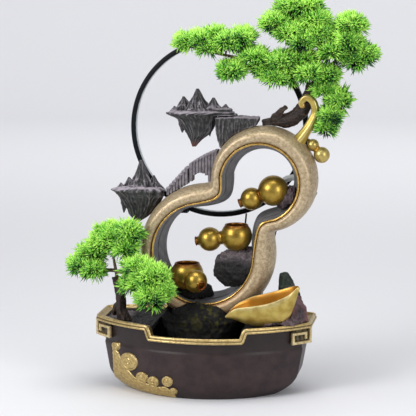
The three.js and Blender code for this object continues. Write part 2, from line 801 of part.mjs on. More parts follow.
function ledBracket(at) {
  const front = ring.back + GAP;
  const back = led.y - led.depth / 2 - GAP;
  const body = block(point(at.x - 6, front, at.z - 5), point(at.x + 6, front + 3, at.z + 14));
  const post = block(point(at.x - 6, front, at.z - 5), point(at.x + 6, back, at.z + 2));
  return body.add(post).subtract(screwHole({ x: at.x, y: front, z: at.z + 9 }));
}
const bracketScrewAt = (at) => ({ x: at.x, y: ring.back + GAP + 3, z: at.z + 9 });

function ledLead() {
  const route = [[45, 36, 216.6], [43, 35, 195], [39, 31, 160], [34, 29, 120], [33, 28, 74]];
  const curve = new THREE.CatmullRomCurve3(route.map((p) => point(...p)));
  const section = new THREE.Shape().absarc(0, 0, 1.1, 0, 2 * Math.PI);
  const settings = { steps: 20, extrudePath: curve, curveSegments: 4, bevelEnabled: false };
  return solid(new THREE.ExtrudeGeometry(section, settings));
}
const leadHole = () => rod("z", point(33.5, 28.5, 100), 2.4, 62, 8);

// Riser hose: from the pump, up behind the right of the ring, forward into the top pot
function hoseRoute() {
  const nozzleTop = pumpAt.z + pumpSize.foot + pumpSize.height + pumpSize.nozzle + 2 * GAP;
  const start = [
    point(pumpAt.x, pumpAt.y + 3, nozzleTop + 3 * GAP),
    point(pumpAt.x, pumpAt.y + 3, nozzleTop + 6),
    point(pumpAt.x, 12, 78),
    point(pumpAt.x - 3, 20, 94),
    point(pumpAt.x - 7, 22.2, 112),
  ];
  const behind = coverLine.map((i) => ringPoint(i, 0.5, 0, hose.y));
  return [...start, ...behind, ...hoseEnd.map((p) => point(...p))];
}

function riserHose() {
  const curve = new THREE.CatmullRomCurve3(hoseRoute());
  const section = new THREE.Shape().absarc(0, 0, hose.radius, 0, 2 * Math.PI);
  const settings = { steps: 36, extrudePath: curve, curveSegments: 4, bevelEnabled: false };
  return solid(new THREE.ExtrudeGeometry(section, settings));
}

function cableGland() {
  const profile = [[2, -8], [2, 8], [7, 8], [7, 5], [4, 4], [4, -8], [2, -8]];
  const lathe = new THREE.LatheGeometry(profile.map(([r, y]) => new THREE.Vector2(r, y)), 14);
  return solid(lathe.translate(glandAt.x, glandAt.y + 3, glandAt.z));
}

// Mound and loose rock

function rockMound() {
  const heights = [5.4, 34, 68, 90, 104, 116];
  const halfX = [50, 49, 47, 52, 44, 30];
  const front = [-44, -43, -41, -42, -37, -30];
  const back = [20, 32, 36, 37, 34, 26];
  const sides = 16;
  const geometry = skin(sides, heights.length - 1, (i, j, onSkin) => {
    const z = heights[j];
    const middle = (front[j] + back[j]) / 2;
    if (!onSkin) return point(-4, middle, z);
    const turn = (i / sides) * 2 * Math.PI;
    const squarer = (v) => Math.sign(v) * Math.abs(v) ** 0.7;
    const x = -4 + halfX[j] * squarer(Math.cos(turn));
    const y = middle + ((back[j] - front[j]) / 2) * squarer(Math.sin(turn));
    const swell = 1 + 0.05 * unevenness(point(x / 20, y / 20, z / 20), 3.3);
    return point(x * swell, middle + (y - middle) * swell, z);
  });
  return solid(geometry).subtract(ringBlank(FIT)).subtract(leadHole());
}

// The rocks that the bowl leans on, on the right deck
function bowlRocks() {
  const deckTop = basinSize.wallTop - 0.5 + GAP;
  const mass = lump(point(100, -26, 92), point(31, 32, 36), 2.9, 1, 0.2);
  const trimTop = basinSize.wallTop + 5.5;
  const inTrim = wallBlank([deckTop, trimTop], -9);
  const room = inTrim.add(block(point(60, -70, trimTop - 0.2), point(131, 10, 140)));
  const sunk = [0, 3, 6].map((up) => scoopBowl(0.05).translate([0, 0, up - 0.6]));
  const clearOfLid = block(point(88, -15, 80), point(140, 60, 160));
  const cut = mass
    .intersect(room)
    .subtract(joined(sunk))
    .subtract(ringBlank(FIT))
    .subtract(clearOfLid);
  return largest(cut);
}

// The rock at the back right that lifts off to reach the pump: rows are [z, right, half depth].
function coverRock() {
  const foot = basinSize.wallTop - 0.5 + GAP;
  const rows = [[147, 102, 9], [139, 107, 12], [121, 117, 16], [105, 123, 18], [foot, 124, 18]];
  const sides = 12;
  const left = 91.5;
  const middle = 4;
  return solid(
    skin(sides, rows.length - 1, (i, j, onSkin) => {
      const [z, right, deep] = rows[j];
      const centre = point((left + right) / 2, middle, z);
      if (!onSkin) return centre;
      const turn = (i / sides) * 2 * Math.PI;
      const squarer = (v) => Math.sign(v) * Math.abs(v) ** 0.6;
      const edge = point(squarer(Math.cos(turn)) * (right - left) * 0.5, squarer(Math.sin(turn)) * deep, 0);
      const swell = 1 + 0.08 * unevenness(point(Math.cos(turn), Math.sin(turn), z / 12), 1.2);
      return centre.add(edge.multiplyScalar(Math.min(swell, 1)));
    }),
  );
}

const accessHole = () => block(point(96, -9, 60), point(117, 17, 100));

// Pump, in its own frame: the middle of its underside is the origin, the inlet faces -Y
const pump = new THREE.Group();
pump.position.set(pumpAt.x, pumpAt.y, pumpAt.z);
fountain.add(pump);

const shaftZ = pumpSize.foot + pumpSize.height / 2;

function pumpHousing() {
  const half = pumpSize.width / 2;
  const top = pumpSize.foot + pumpSize.height;
  const body = block(point(-half, -6, pumpSize.foot), point(half, 18, top));
  const chamber = rod("y", point(0, -4, shaftZ), pumpSize.chamber, 16, 18);
  const rotor = rod("y", point(0, 6, shaftZ), 7, 14, 16);
  const outlet = rod("z", point(0, 1.5, top - 6), 2.6, 22, 12);
  const knobSeat = rod("x", point(half, 4, shaftZ), 2 + FIT, 9, 12);
  return body.subtract(chamber).subtract(rotor).subtract(outlet).subtract(knobSeat);
}

function voluteCover() {
  const half = pumpSize.width / 2;
  const top = pumpSize.foot + pumpSize.height;
  const plate = block(point(-half, -10, pumpSize.foot), point(half, -6 - GAP, top));
  return plate.subtract(rod("y", point(0, -8, shaftZ), 6, 8, 16));
}

function outletNozzle() {
  const low = pumpSize.foot + pumpSize.height + GAP;
  const tube = rod("z", point(0, 3, low + pumpSize.nozzle / 2), 4.6, pumpSize.nozzle, 14);
  const foot = rod("z", point(0, 3, low + 1.5), 7.5, 3, 14);
  const bore = rod("z", point(0, 3, low + pumpSize.nozzle / 2), 2.6, pumpSize.nozzle + 2, 12);
  return tube.add(foot).subtract(bore);
}

function impellerSolid() {
  const hub = rod("y", point(0, 2, shaftZ), 6, 20, 14);
  const plates = [0, 90].map((turn) =>
    block(point(-0.8, -6, -10), point(0.8, 1, 10)).rotate([0, turn, 0]).translate([0, 0, shaftZ]),
  );
  return joined([hub.intersect(rod("y", point(0, 3, shaftZ), 7, 18, 14)), ...plates])
    .subtract(rod("y", point(0, 0, shaftZ), 1.2 + FIT, 40, 10));
}

function strainerCover() {
  const half = 18;
  const low = pumpSize.foot + 2;
  const top = pumpSize.foot + pumpSize.height - 2;
  const shell = block(point(-half, -20, low), point(half, -10 - GAP, top));
  const hollow = block(point(-half + 2, -18, low + 2), point(half - 2, -5, top - 2));
  const slots = [-10, -5, 0, 5, 10].map((x) =>
    block(point(x - 1.2, -24, low + 5), point(x + 1.2, -15, top - 5)),
  );
  return shell.subtract(hollow).subtract(joined(slots));
}

function regulatorKnob() {
  const half = pumpSize.width / 2;
  const dial = rod("x", point(half + 2, 4, shaftZ), 5, 3.4, 14);
  const pin = rod("x", point(half - 1, 4, shaftZ), 2, 6, 12);
  const grip = block(point(half + 3, 3, shaftZ - 4.5), point(half + 5.4, 5, shaftZ + 4.5));
  return dial.add(pin).add(grip);
}

function suctionCup(x, y) {
  const top = pumpSize.foot - GAP;
  const profile = [[0, 1.6], [6.6, 0.3], [6.6, 0.9], [2.6, 3.4], [2.6, top], [0, top]];
  const lathe = new THREE.LatheGeometry(profile.map(([r, z]) => new THREE.Vector2(r, z)), 12);
  return solid(lathe.rotateX(Math.PI / 2).translate(x, y, 0));
}

// Assembly

const hoseHoleInDeck = rod("z", point(73, 17, 85), hose.radius + 4.5, 30, 12);
const besideStep = (side) =>
  block(point(side * 62.5 - 8.5, -95, 70), point(side * 62.5 + 8.5, -62, 100));
const holesInDeck = accessHole().add(hoseHoleInDeck).add(besideStep(1));
add("basin", basin(), look.basin);
add("rim_trim", rimTrim(), look.antiqueGold);
add("fret_left", fret(-1), look.antiqueGold);
add("fret_right", fret(1), look.antiqueGold);
add("wave_relief", waveRelief(), look.antiqueGold);
add("cable_gland", cableGland(), look.rubber);
add("deck_left", deck(-140, -58).subtract(besideStep(-1)), look.darkRock);
add("deck_right", deck(54, 140).subtract(holesInDeck), look.darkRock);
add("rock_mound", rockMound(), look.darkRock);
add("bowl_rocks", bowlRocks(), look.rock);

const bracketHoles = bracketPlaces.map((at) => screwHole(bracketScrewAt(at)));
add("gourd_frame", frameBand().subtract(joined(bracketHoles)), look.champagne);
add("frame_liner", linerBand(), look.liner);
add("frame_bead", beadBand(), look.brightGold);
add("hose_cover", hoseCover(), look.darkRock);

add("pot_top", potSolid(pots.top).subtract(potBore(pots.top)).subtract(hosePort()), look.gold);
add("pot_middle", potSolid(pots.middle).subtract(potHollow(pots.middle)), look.gold);
add("pot_low", potSolid(pots.low).subtract(potHollow(pots.low)), look.gold);
add("rock_top", potRock(point(104, -4, 243), point(16, 13, 17), 1.4, pots.top), look.rock);
add("rock_middle", potRock(point(48, -4, 155), point(38, 18, 26), 3.6, pots.middle), look.rock);
add("rock_low", potRock(point(-20, -2, 122), point(30, 17, 16), 5.8, pots.low), look.rock);
add("scoop_bowl", scoopBowl(), look.gold);

add("island_upper", upperIsland(), look.rock);
add("island_lower", lowerIsland().subtract(ringBlank(FIT)), look.rock);
const besideStairs = ringBlank(FIT).add(block(point(-60, -30, 200), point(-49.7, 30, 260)));
add("staircase", staircase().subtract(besideStairs), look.rock);
add("bridge", bridge().subtract(ringBlank(FIT)), look.rock);
add("ledge_rock", ledge().subtract(ringBlank(FIT)), look.rock);

add("stalk", stalk().subtract(ringBlank(FIT)), look.gold);
add("mini_gourd", miniGourd().subtract(ringBlank(FIT)), look.gold);
const besideDriftwood = ringBlank(FIT).add(stalk(FIT)).add(block(point(60, -20, 320), point(66.5, 30, 360)));
add("driftwood", driftwood().subtract(besideDriftwood), look.wood);
add("trunk_left", leftTrunk(), look.wood);

add("led_channel", ledChannel(), look.housing);
add("led_diffuser", ledDiffuser(), look.diffuser);
bracketPlaces.forEach((at, k) => {
  add(`ring_bracket_${k + 1}`, ledBracket(at), look.housing);
  add(`bracket_screw_${k + 1}`, screw(bracketScrewAt(at)), look.screw);
});
add("led_lead", ledLead(), look.housing);
add("riser_hose", riserHose(), look.tube);
add("cover_rock", coverRock(), look.rock);

add("top_branches", branches(topLimbs, 3), look.branch);
addPads(topPads, branches(topLimbs, 3, FIT).add(stalk(1.5)).add(trunkLimb(1.5)));
add("left_branches", branches(leftLimbs, 2.6), look.branch);
addPads(leftPads, branches(leftLimbs, 2.6, FIT).add(ringBlank(1.5)));

addTo(pump, "pump_housing", pumpHousing(), look.pump);
addTo(pump, "volute_cover", voluteCover(), look.pump);
addTo(pump, "outlet_nozzle", outletNozzle(), look.pump);
addTo(pump, "impeller", impellerSolid(), look.impeller);
addTo(pump, "impeller_shaft", rod("y", point(0, 3, shaftZ), 1.2, 19, 10), look.shaft);
addTo(pump, "strainer_cover", strainerCover(), look.pump);
addTo(pump, "regulator_knob", regulatorKnob(), look.impeller);
[[-15, -2], [15, -2], [-15, 13], [15, 13]].forEach(([x, y], k) => {
  addTo(pump, `suction_cup_${k + 1}`, suctionCup(x, y), look.rubber);
});

export default fountain;
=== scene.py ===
# Tabletop water fountain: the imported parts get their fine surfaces, finishes, light and camera.
import math
import bmesh
import bpy
import numpy as np
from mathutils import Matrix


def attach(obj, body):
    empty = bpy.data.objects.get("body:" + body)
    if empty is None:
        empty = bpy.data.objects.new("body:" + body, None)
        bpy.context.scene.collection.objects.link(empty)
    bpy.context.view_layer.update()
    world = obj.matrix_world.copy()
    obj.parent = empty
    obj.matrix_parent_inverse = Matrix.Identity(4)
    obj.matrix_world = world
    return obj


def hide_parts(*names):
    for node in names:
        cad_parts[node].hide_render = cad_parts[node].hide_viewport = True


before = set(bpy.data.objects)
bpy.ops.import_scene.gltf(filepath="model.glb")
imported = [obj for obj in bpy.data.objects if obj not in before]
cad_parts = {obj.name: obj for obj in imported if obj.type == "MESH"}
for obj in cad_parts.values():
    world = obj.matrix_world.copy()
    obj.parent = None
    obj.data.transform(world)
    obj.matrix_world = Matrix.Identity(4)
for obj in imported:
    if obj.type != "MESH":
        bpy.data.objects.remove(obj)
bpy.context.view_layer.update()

mm = 0.001  # shapes below are worked out in millimetres
root = "fountain"

# Value noise: random numbers at whole-number corners, blended smoothly between the eight round a point
def latticeNoise(points, seed):
    cell = np.floor(points).astype(np.int64)
    part = points - cell
    part = part * part * (3 - 2 * part)
    total = np.zeros(points.shape[:-1])
    for corner in range(8):
        step = np.array([corner & 1, corner >> 1 & 1, corner >> 2 & 1])
        spot = cell + step
        mixed = spot[..., 0] * 374761393 + spot[..., 1] * 668265263 + spot[..., 2] * 1440662683
        mixed = (mixed + seed * 144665) & 0xFFFFFFFF
        mixed = ((mixed ^ (mixed >> 13)) * 1274126177) & 0xFFFFFFFF
        value = ((mixed ^ (mixed >> 16)) & 0xFFFFFF) / 0x7FFFFF - 1.0
        total += value * np.prod(np.where(step == 1, part, 1 - part), axis=-1)
    return total


# Several layers of that noise, each twice as fine and half as strong; ridged gives sharp crests
def fractalNoise(points, size, seed, octaves=4, ridged=False):
    total, strength, reach = 0, 1.0, 0.0
    for k in range(octaves):
        layer = latticeNoise(np.asarray(points, float) / size * 2.03**k + 7.3 * k, seed + k)
        total = total + strength * (1 - 2.4 * np.abs(layer) if ridged else layer)
        reach += strength
        strength *= 0.5
    return total / reach


# Smooth curve through knots (Catmull-Rom), evenly spread in the knot number
def smoothLine(knots, count):
    knots = np.asarray(knots, float)
    if knots.ndim == 1:
        knots = knots[:, None]
    padded = np.vstack([2 * knots[0] - knots[1], knots, 2 * knots[-1] - knots[-2]])
    at = np.linspace(0, len(knots) - 1, count)
    k = np.minimum(at.astype(int), len(knots) - 2)
    f = (at - k)[:, None]
    a, b, c, d = padded[k], padded[k + 1], padded[k + 2], padded[k + 3]
    return 0.5 * (2 * b + (c - a) * f + (2 * a - 5 * b + 4 * c - d) * f**2 + (3 * b - a - 3 * c + d) * f**3)


# Rises from 0 at low to 1 at high as t squared times (3 - 2t), with t clipped; low may be above high
def smoothStep(low, high, value):
    t = np.clip((value - low) / (high - low), 0, 1)
    return t * t * (3 - 2 * t)


# A closed skin over a grid of points, grid[i, j] with i along and j around. Open ends are closed
# with a fan to their middle, and the faces are turned out by the sign of the enclosed volume.
def skin(grid, ring=False, shade=0.0):
    rows, cols = grid.shape[:2]
    index = np.arange(rows * cols).reshape(rows, cols)
    low = index if ring else index[:-1]
    high = np.roll(index, -1, axis=0) if ring else index[1:]
    quads = np.stack([low, np.roll(low, -1, 1), np.roll(high, -1, 1), high], -1).reshape(-1, 4)
    points = grid.reshape(-1, 3)
    shades = np.broadcast_to(np.asarray(shade, float), (rows, cols)).reshape(-1)
    tris = np.zeros((0, 3), int)
    if not ring:
        ends = np.stack([grid[0].mean(0), grid[-1].mean(0)])
        count = rows * cols
        points = np.vstack([points, ends])
        shades = np.append(shades, [shades[0], shades[-1]])
        first = np.stack([np.roll(index[0], -1), index[0], np.full(cols, count)], -1)
        last = np.stack([index[-1], np.roll(index[-1], -1), np.full(cols, count + 1)], -1)
        tris = np.vstack([first, last])
    every = np.vstack([quads[:, [0, 1, 2]], quads[:, [0, 2, 3]], tris])
    a, b, c = points[every[:, 0]], points[every[:, 1]], points[every[:, 2]]
    if np.einsum("ij,ij->i", a - points.mean(0), np.cross(b - a, c - a)).sum() < 0:
        quads, tris = quads[:, ::-1], tris[:, ::-1]
    return {"points": points, "quads": quads, "tris": tris, "shade": shades}


# Joins shells into one: their points are stacked and each shell's face numbers are shifted
def together(shells):
    count, points, quads, tris, shades = 0, [], [], [], []
    for shell in shells:
        points.append(shell["points"])
        quads.append(shell["quads"] + count)
        tris.append(shell["tris"] + count)
        shades.append(shell["shade"])
        count += len(shell["points"])
    return {
        "points": np.vstack(points),
        "quads": np.vstack(quads),
        "tris": np.vstack(tris),
        "shade": np.concatenate(shades),
    }


# Ring of a given radius set square across a path; side says which way the ring's first axis lies
def tube(path, radii, sides=20, side=(0, 1, 0), shade=0.0, ribs=0.0, ribCount=5, twist=0.0):
    path = np.asarray(path, float)
    run = np.gradient(path, axis=0)
    run /= np.linalg.norm(run, axis=1, keepdims=True)
    across = np.cross(run, np.asarray(side, float))
    across /= np.linalg.norm(across, axis=1, keepdims=True)
    other = np.cross(across, run)
    turn = np.linspace(0, 2 * math.pi, sides, endpoint=False)
    along = np.linspace(0, 1, len(path))
    radii = np.broadcast_to(np.asarray(radii, float), (len(path),))[:, None]
    radii = radii * (1 + ribs * np.cos(ribCount * turn[None] + twist * along[:, None]))
    grid = path[:, None] + radii[..., None] * (
        np.cos(turn)[None, :, None] * across[:, None] + np.sin(turn)[None, :, None] * other[:, None]
    )
    return skin(grid, shade=np.broadcast_to(np.asarray(shade, float), (len(path),))[:, None]
                * np.ones(sides))


# Profile of (radius, height) turned about an axis that starts at a place
def turned(profile, place, axis, sides=64, shade=None):
    profile = np.asarray(profile, float)
    axis = np.asarray(axis, float) / np.linalg.norm(axis)
    helper = np.array([0, 1, 0]) if abs(axis[1]) < 0.9 else np.array([1, 0, 0])
    across = np.cross(axis, helper)
    across /= np.linalg.norm(across)
    other = np.cross(axis, across)
    turn = np.linspace(0, 2 * math.pi, sides, endpoint=False)
    spoke = np.cos(turn)[:, None] * across + np.sin(turn)[:, None] * other
    grid = np.asarray(place, float) + profile[:, 1, None, None] * axis + profile[:, 0, None, None] * spoke
    shades = np.zeros(len(profile)) if shade is None else np.asarray(shade, float)
    return skin(grid, shade=shades[:, None] * np.ones(sides))


# Rounded box: a ball pushed towards a cube (power), stretched, with layered and rough relief
def boulder(centre, half, seed, power=0.55, rough=0.12, strata=0.0, rows=40, cols=56, grain=0.6, shade=0.0):
    lift = np.linspace(-math.pi / 2 + 0.02, math.pi / 2 - 0.02, rows)[:, None]
    turn = np.linspace(0, 2 * math.pi, cols, endpoint=False)[None]
    squarer = lambda v: np.sign(v) * np.abs(v) ** power
    flat = squarer(np.cos(lift))
    unit = np.stack([flat * squarer(np.cos(turn)), flat * squarer(np.sin(turn)),
                     squarer(np.sin(lift)) + 0 * turn], -1)
    half = np.asarray(half, float)
    at = unit * half
    swell = 1 + rough * fractalNoise(at, grain * half.mean(), seed, ridged=True) - rough * 0.4
    layers = np.sign(np.sin(at[..., 2] * 2.1 + 2 * fractalNoise(at, 9, seed + 9)))
    swell += strata * layers * (np.abs(unit[..., 2]) < 0.9)
    at = at * np.stack([swell, swell, 1 + 0 * swell], -1)
    return skin(np.asarray(centre, float) + at, shade=shade)


# Box between a low and a high corner
def slab(low, high):
    low, high = np.asarray(low, float), np.asarray(high, float)
    corners = np.array([[0, 0], [1, 0], [1, 1], [0, 1]], float)
    span = high - low
    grid = np.stack([
        np.column_stack([low[0] + corners[:, 0] * span[0], low[1] + corners[:, 1] * span[1], np.full(4, z)])
        for z in (low[2], high[2])
    ])
    return skin(grid)


# Mesh from a shell, millimetres turned into metres, smooth faces, with its shade as an attribute
def meshFrom(name, shell):
    mesh = bpy.data.meshes.new(name)
    points = (shell["points"] * mm).astype(np.float32)
    corners = np.concatenate([shell["quads"].ravel(), shell["tris"].ravel()]).astype(np.int32)
    quadCount, triCount = len(shell["quads"]), len(shell["tris"])
    starts = np.concatenate([np.arange(quadCount) * 4, quadCount * 4 + np.arange(triCount) * 3])
    mesh.vertices.add(len(points))
    mesh.vertices.foreach_set("co", points.ravel())
    mesh.loops.add(len(corners))
    mesh.loops.foreach_set("vertex_index", corners)
    mesh.polygons.add(len(starts))
    mesh.polygons.foreach_set("loop_start", starts.astype(np.int32))
    mesh.polygons.foreach_set("use_smooth", np.ones(len(starts), bool))
    mesh.update(calc_edges=True)
    store = mesh.attributes.new("shade", "FLOAT", "POINT")
    store.data.foreach_set("value", shell["shade"].astype(np.float32))
    return mesh


# Puts a shell into the scene as a piece that rides on a body and stands for CAD nodes
def piece(name, shell, material, nodes=(), body=root, sharp=None, bevel=0.0):
    mesh = shell if isinstance(shell, bpy.types.Mesh) else meshFrom(name, shell)
    if sharp:
        mesh.set_sharp_from_angle(angle=math.radians(sharp))
    made = bpy.data.objects.new(name, mesh)
    bpy.context.scene.collection.objects.link(made)
    made.data.materials.clear()
    made.data.materials.append(material)
    if bevel:
        softened = made.modifiers.new("softened", "BEVEL")
        softened.width = bevel * mm
        softened.segments = 2
        softened.limit_method = "ANGLE"
        softened.angle_limit = math.radians(40)
    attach(made, body)
    if nodes:
        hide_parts(*nodes)
    return made


# Cast rock or wood over a CAD solid: a merged copy is remeshed evenly and softened, then each
# vertex moves along its normal by ridged noise, stretched along one direction for grain.
def castOver(name, node, style, seed, shadeOf=None):
    copy = bpy.data.objects.new(name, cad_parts[node].data.copy())
    bpy.context.scene.collection.objects.link(copy)
    work = bmesh.new()
    work.from_mesh(copy.data)
    bmesh.ops.remove_doubles(work, verts=work.verts, dist=1e-6)
    work.to_mesh(copy.data)
    work.free()
    even = copy.modifiers.new("even", "REMESH")
    even.mode = "VOXEL"
    even.voxel_size = style["voxel"] * mm
    soft = copy.modifiers.new("soft", "SMOOTH")
    soft.factor = 0.5
    soft.iterations = style["soften"]
    bpy.context.view_layer.update()
    seen = copy.evaluated_get(bpy.context.evaluated_depsgraph_get())
    mesh = bpy.data.meshes.new_from_object(seen)
    bpy.data.objects.remove(copy)
    count = len(mesh.vertices)
    points = np.empty(count * 3, np.float32)
    normals = np.empty(count * 3, np.float32)
    mesh.vertices.foreach_get("co", points)
    mesh.vertex_normals.foreach_get("vector", normals)
    points = points.reshape(-1, 3).astype(float) / mm
    normals = normals.reshape(-1, 3).astype(float)
    stretched = points / np.asarray(style["stretch"], float)
    broad = fractalNoise(stretched, style["size"], seed, ridged=True)
    fine = fractalNoise(stretched, style["size"] / 4, seed + 5)
    moved = points + normals * (style["depth"] * (broad - style["sink"]) + style["fine"] * fine)[:, None]
    mesh.vertices.foreach_set("co", (moved * mm).astype(np.float32).ravel())
    mesh.polygons.foreach_set("use_smooth", np.ones(len(mesh.polygons), bool))
    mesh.update()
    store = mesh.attributes.new("shade", "FLOAT", "POINT")
    shades = np.zeros(count) if shadeOf is None else shadeOf(moved)
    store.data.foreach_set("value", np.asarray(shades, np.float32))
    return mesh


print("shape tools ready")

# Empty shader group with the given input sockets (label, kind, value) and outputs (label, kind)
def newGroup(name, inputs, outputs):
    group = bpy.data.node_groups.new(name, "ShaderNodeTree")
    for label, kind, value in inputs:
        socket = group.interface.new_socket(label, in_out="INPUT", socket_type="NodeSocket" + kind)
        if value is not None:
            socket.default_value = value
    for label, kind in outputs:
        group.interface.new_socket(label, in_out="OUTPUT", socket_type="NodeSocket" + kind)
    return group, group.nodes.new("NodeGroupInput"), group.nodes.new("NodeGroupOutput")


# One maths node; each operand is a number or a socket
def mathNode(tree, operation, first, second, clamp=False):
    node = tree.nodes.new("ShaderNodeMath")
    node.operation = operation
    node.use_clamp = clamp
    for socket, value in zip(node.inputs, (first, second)):
        if isinstance(value, (int, float)):
            socket.default_value = value
        else:
            tree.links.new(value, socket)
    return node.outputs[0]


# Value from low to high mapped smoothly to a new range
def remap(tree, value, low, high, fromZero=0.0, toOne=1.0):
    node = tree.nodes.new("ShaderNodeMapRange")
    node.interpolation_type = "SMOOTHSTEP"
    tree.links.new(value, node.inputs["Value"])
    for label, number in (("From Min", low), ("From Max", high), ("To Min", fromZero), ("To Max", toOne)):
        node.inputs[label].default_value = number
    return node.outputs["Result"]


# Noise texture at a place; the scale is a number or a socket
def noiseNode(tree, place, scale, detail, roughness=0.55):
    node = tree.nodes.new("ShaderNodeTexNoise")
    tree.links.new(place, node.inputs["Vector"])
    if isinstance(scale, (int, float)):
        node.inputs["Scale"].default_value = scale
    else:
        tree.links.new(scale, node.inputs["Scale"])
    node.inputs["Detail"].default_value = detail
    node.inputs["Roughness"].default_value = roughness
    return node.outputs["Fac"]


# Cast grain: broad mottling, fine speckle and a height that mixes both with small pits
def buildCastGrain():
    group, given, result = newGroup(
        "castGrain",
        [("Place", "Vector", None), ("Scale", "Float", 100.0), ("Pits", "Float", 0.3)],
        [("Mottle", "Float"), ("Speckle", "Float"), ("Height", "Float")],
    )
    mottle = noiseNode(group, given.outputs["Place"], given.outputs["Scale"], 6)
    finer = mathNode(group, "MULTIPLY", given.outputs["Scale"], 7.0)
    speckle = noiseNode(group, given.outputs["Place"], finer, 3, 0.7)
    cells = group.nodes.new("ShaderNodeTexVoronoi")
    group.links.new(given.outputs["Place"], cells.inputs["Vector"])
    group.links.new(mathNode(group, "MULTIPLY", given.outputs["Scale"], 3.0), cells.inputs["Scale"])
    pits = mathNode(group, "MULTIPLY", remap(group, cells.outputs["Distance"], 0.05, 0.3),
                    given.outputs["Pits"])
    height = mathNode(group, "ADD", mathNode(group, "MULTIPLY", mottle, 0.6),
                      mathNode(group, "MULTIPLY", speckle, 0.3))
    group.links.new(remap(group, mottle, 0.3, 0.7), result.inputs["Mottle"])
    group.links.new(speckle, result.inputs["Speckle"])
    group.links.new(mathNode(group, "ADD", height, pits), result.inputs["Height"])
    return group


# Edge, hollow and upward masks: edges (worn paint) and hollows (painted shade) from how sharply the surface
# turns, upward faces (dry-brushed paint and painted highlight) from the normal; edges and upward faces
# are broken up by mottling
def buildWearAndPaintedLight():
    group, given, result = newGroup(
        "wearAndPaintedLight",
        [("Width", "Float", 0.06), ("Mottle", "Float", 0.5)],
        [("Edge", "Float"), ("Hollow", "Float"), ("Upward", "Float")],
    )
    shape = group.nodes.new("ShaderNodeNewGeometry")
    bend = mathNode(group, "SUBTRACT", shape.outputs["Pointiness"], 0.5)
    width = given.outputs["Width"]
    edge = mathNode(group, "DIVIDE", bend, width, clamp=True)
    hollow = mathNode(group, "DIVIDE", mathNode(group, "MULTIPLY", bend, -1.0), width, clamp=True)
    broken = mathNode(group, "ADD", given.outputs["Mottle"], 0.45, clamp=True)
    parts = group.nodes.new("ShaderNodeSeparateXYZ")
    group.links.new(shape.outputs["Normal"], parts.inputs[0])
    group.links.new(mathNode(group, "MULTIPLY", edge, broken), result.inputs["Edge"])
    group.links.new(hollow, result.inputs["Hollow"])
    upward = remap(group, parts.outputs["Z"], 0.25, 0.85)
    group.links.new(mathNode(group, "MULTIPLY", upward, broken), result.inputs["Upward"])
    return group


castGrain = buildCastGrain()
wearAndPaintedLight = buildWearAndPaintedLight()


# Under mixed with over by an amount; each is a colour, a number or a socket
def mixColour(tree, under, over, amount):
    node = tree.nodes.new("ShaderNodeMix")
    node.data_type = "RGBA"
    colourA, colourB = [s for s in node.inputs if s.type == "RGBA"][:2]
    factor = node.inputs[0]
    for socket, value in ((colourA, under), (colourB, over), (factor, amount)):
        if isinstance(value, tuple):
            socket.default_value = (*value, 1.0)
        elif isinstance(value, (int, float)):
            socket.default_value = value
        else:
            tree.links.new(value, socket)
    return [s for s in node.outputs if s.type == "RGBA"][0]


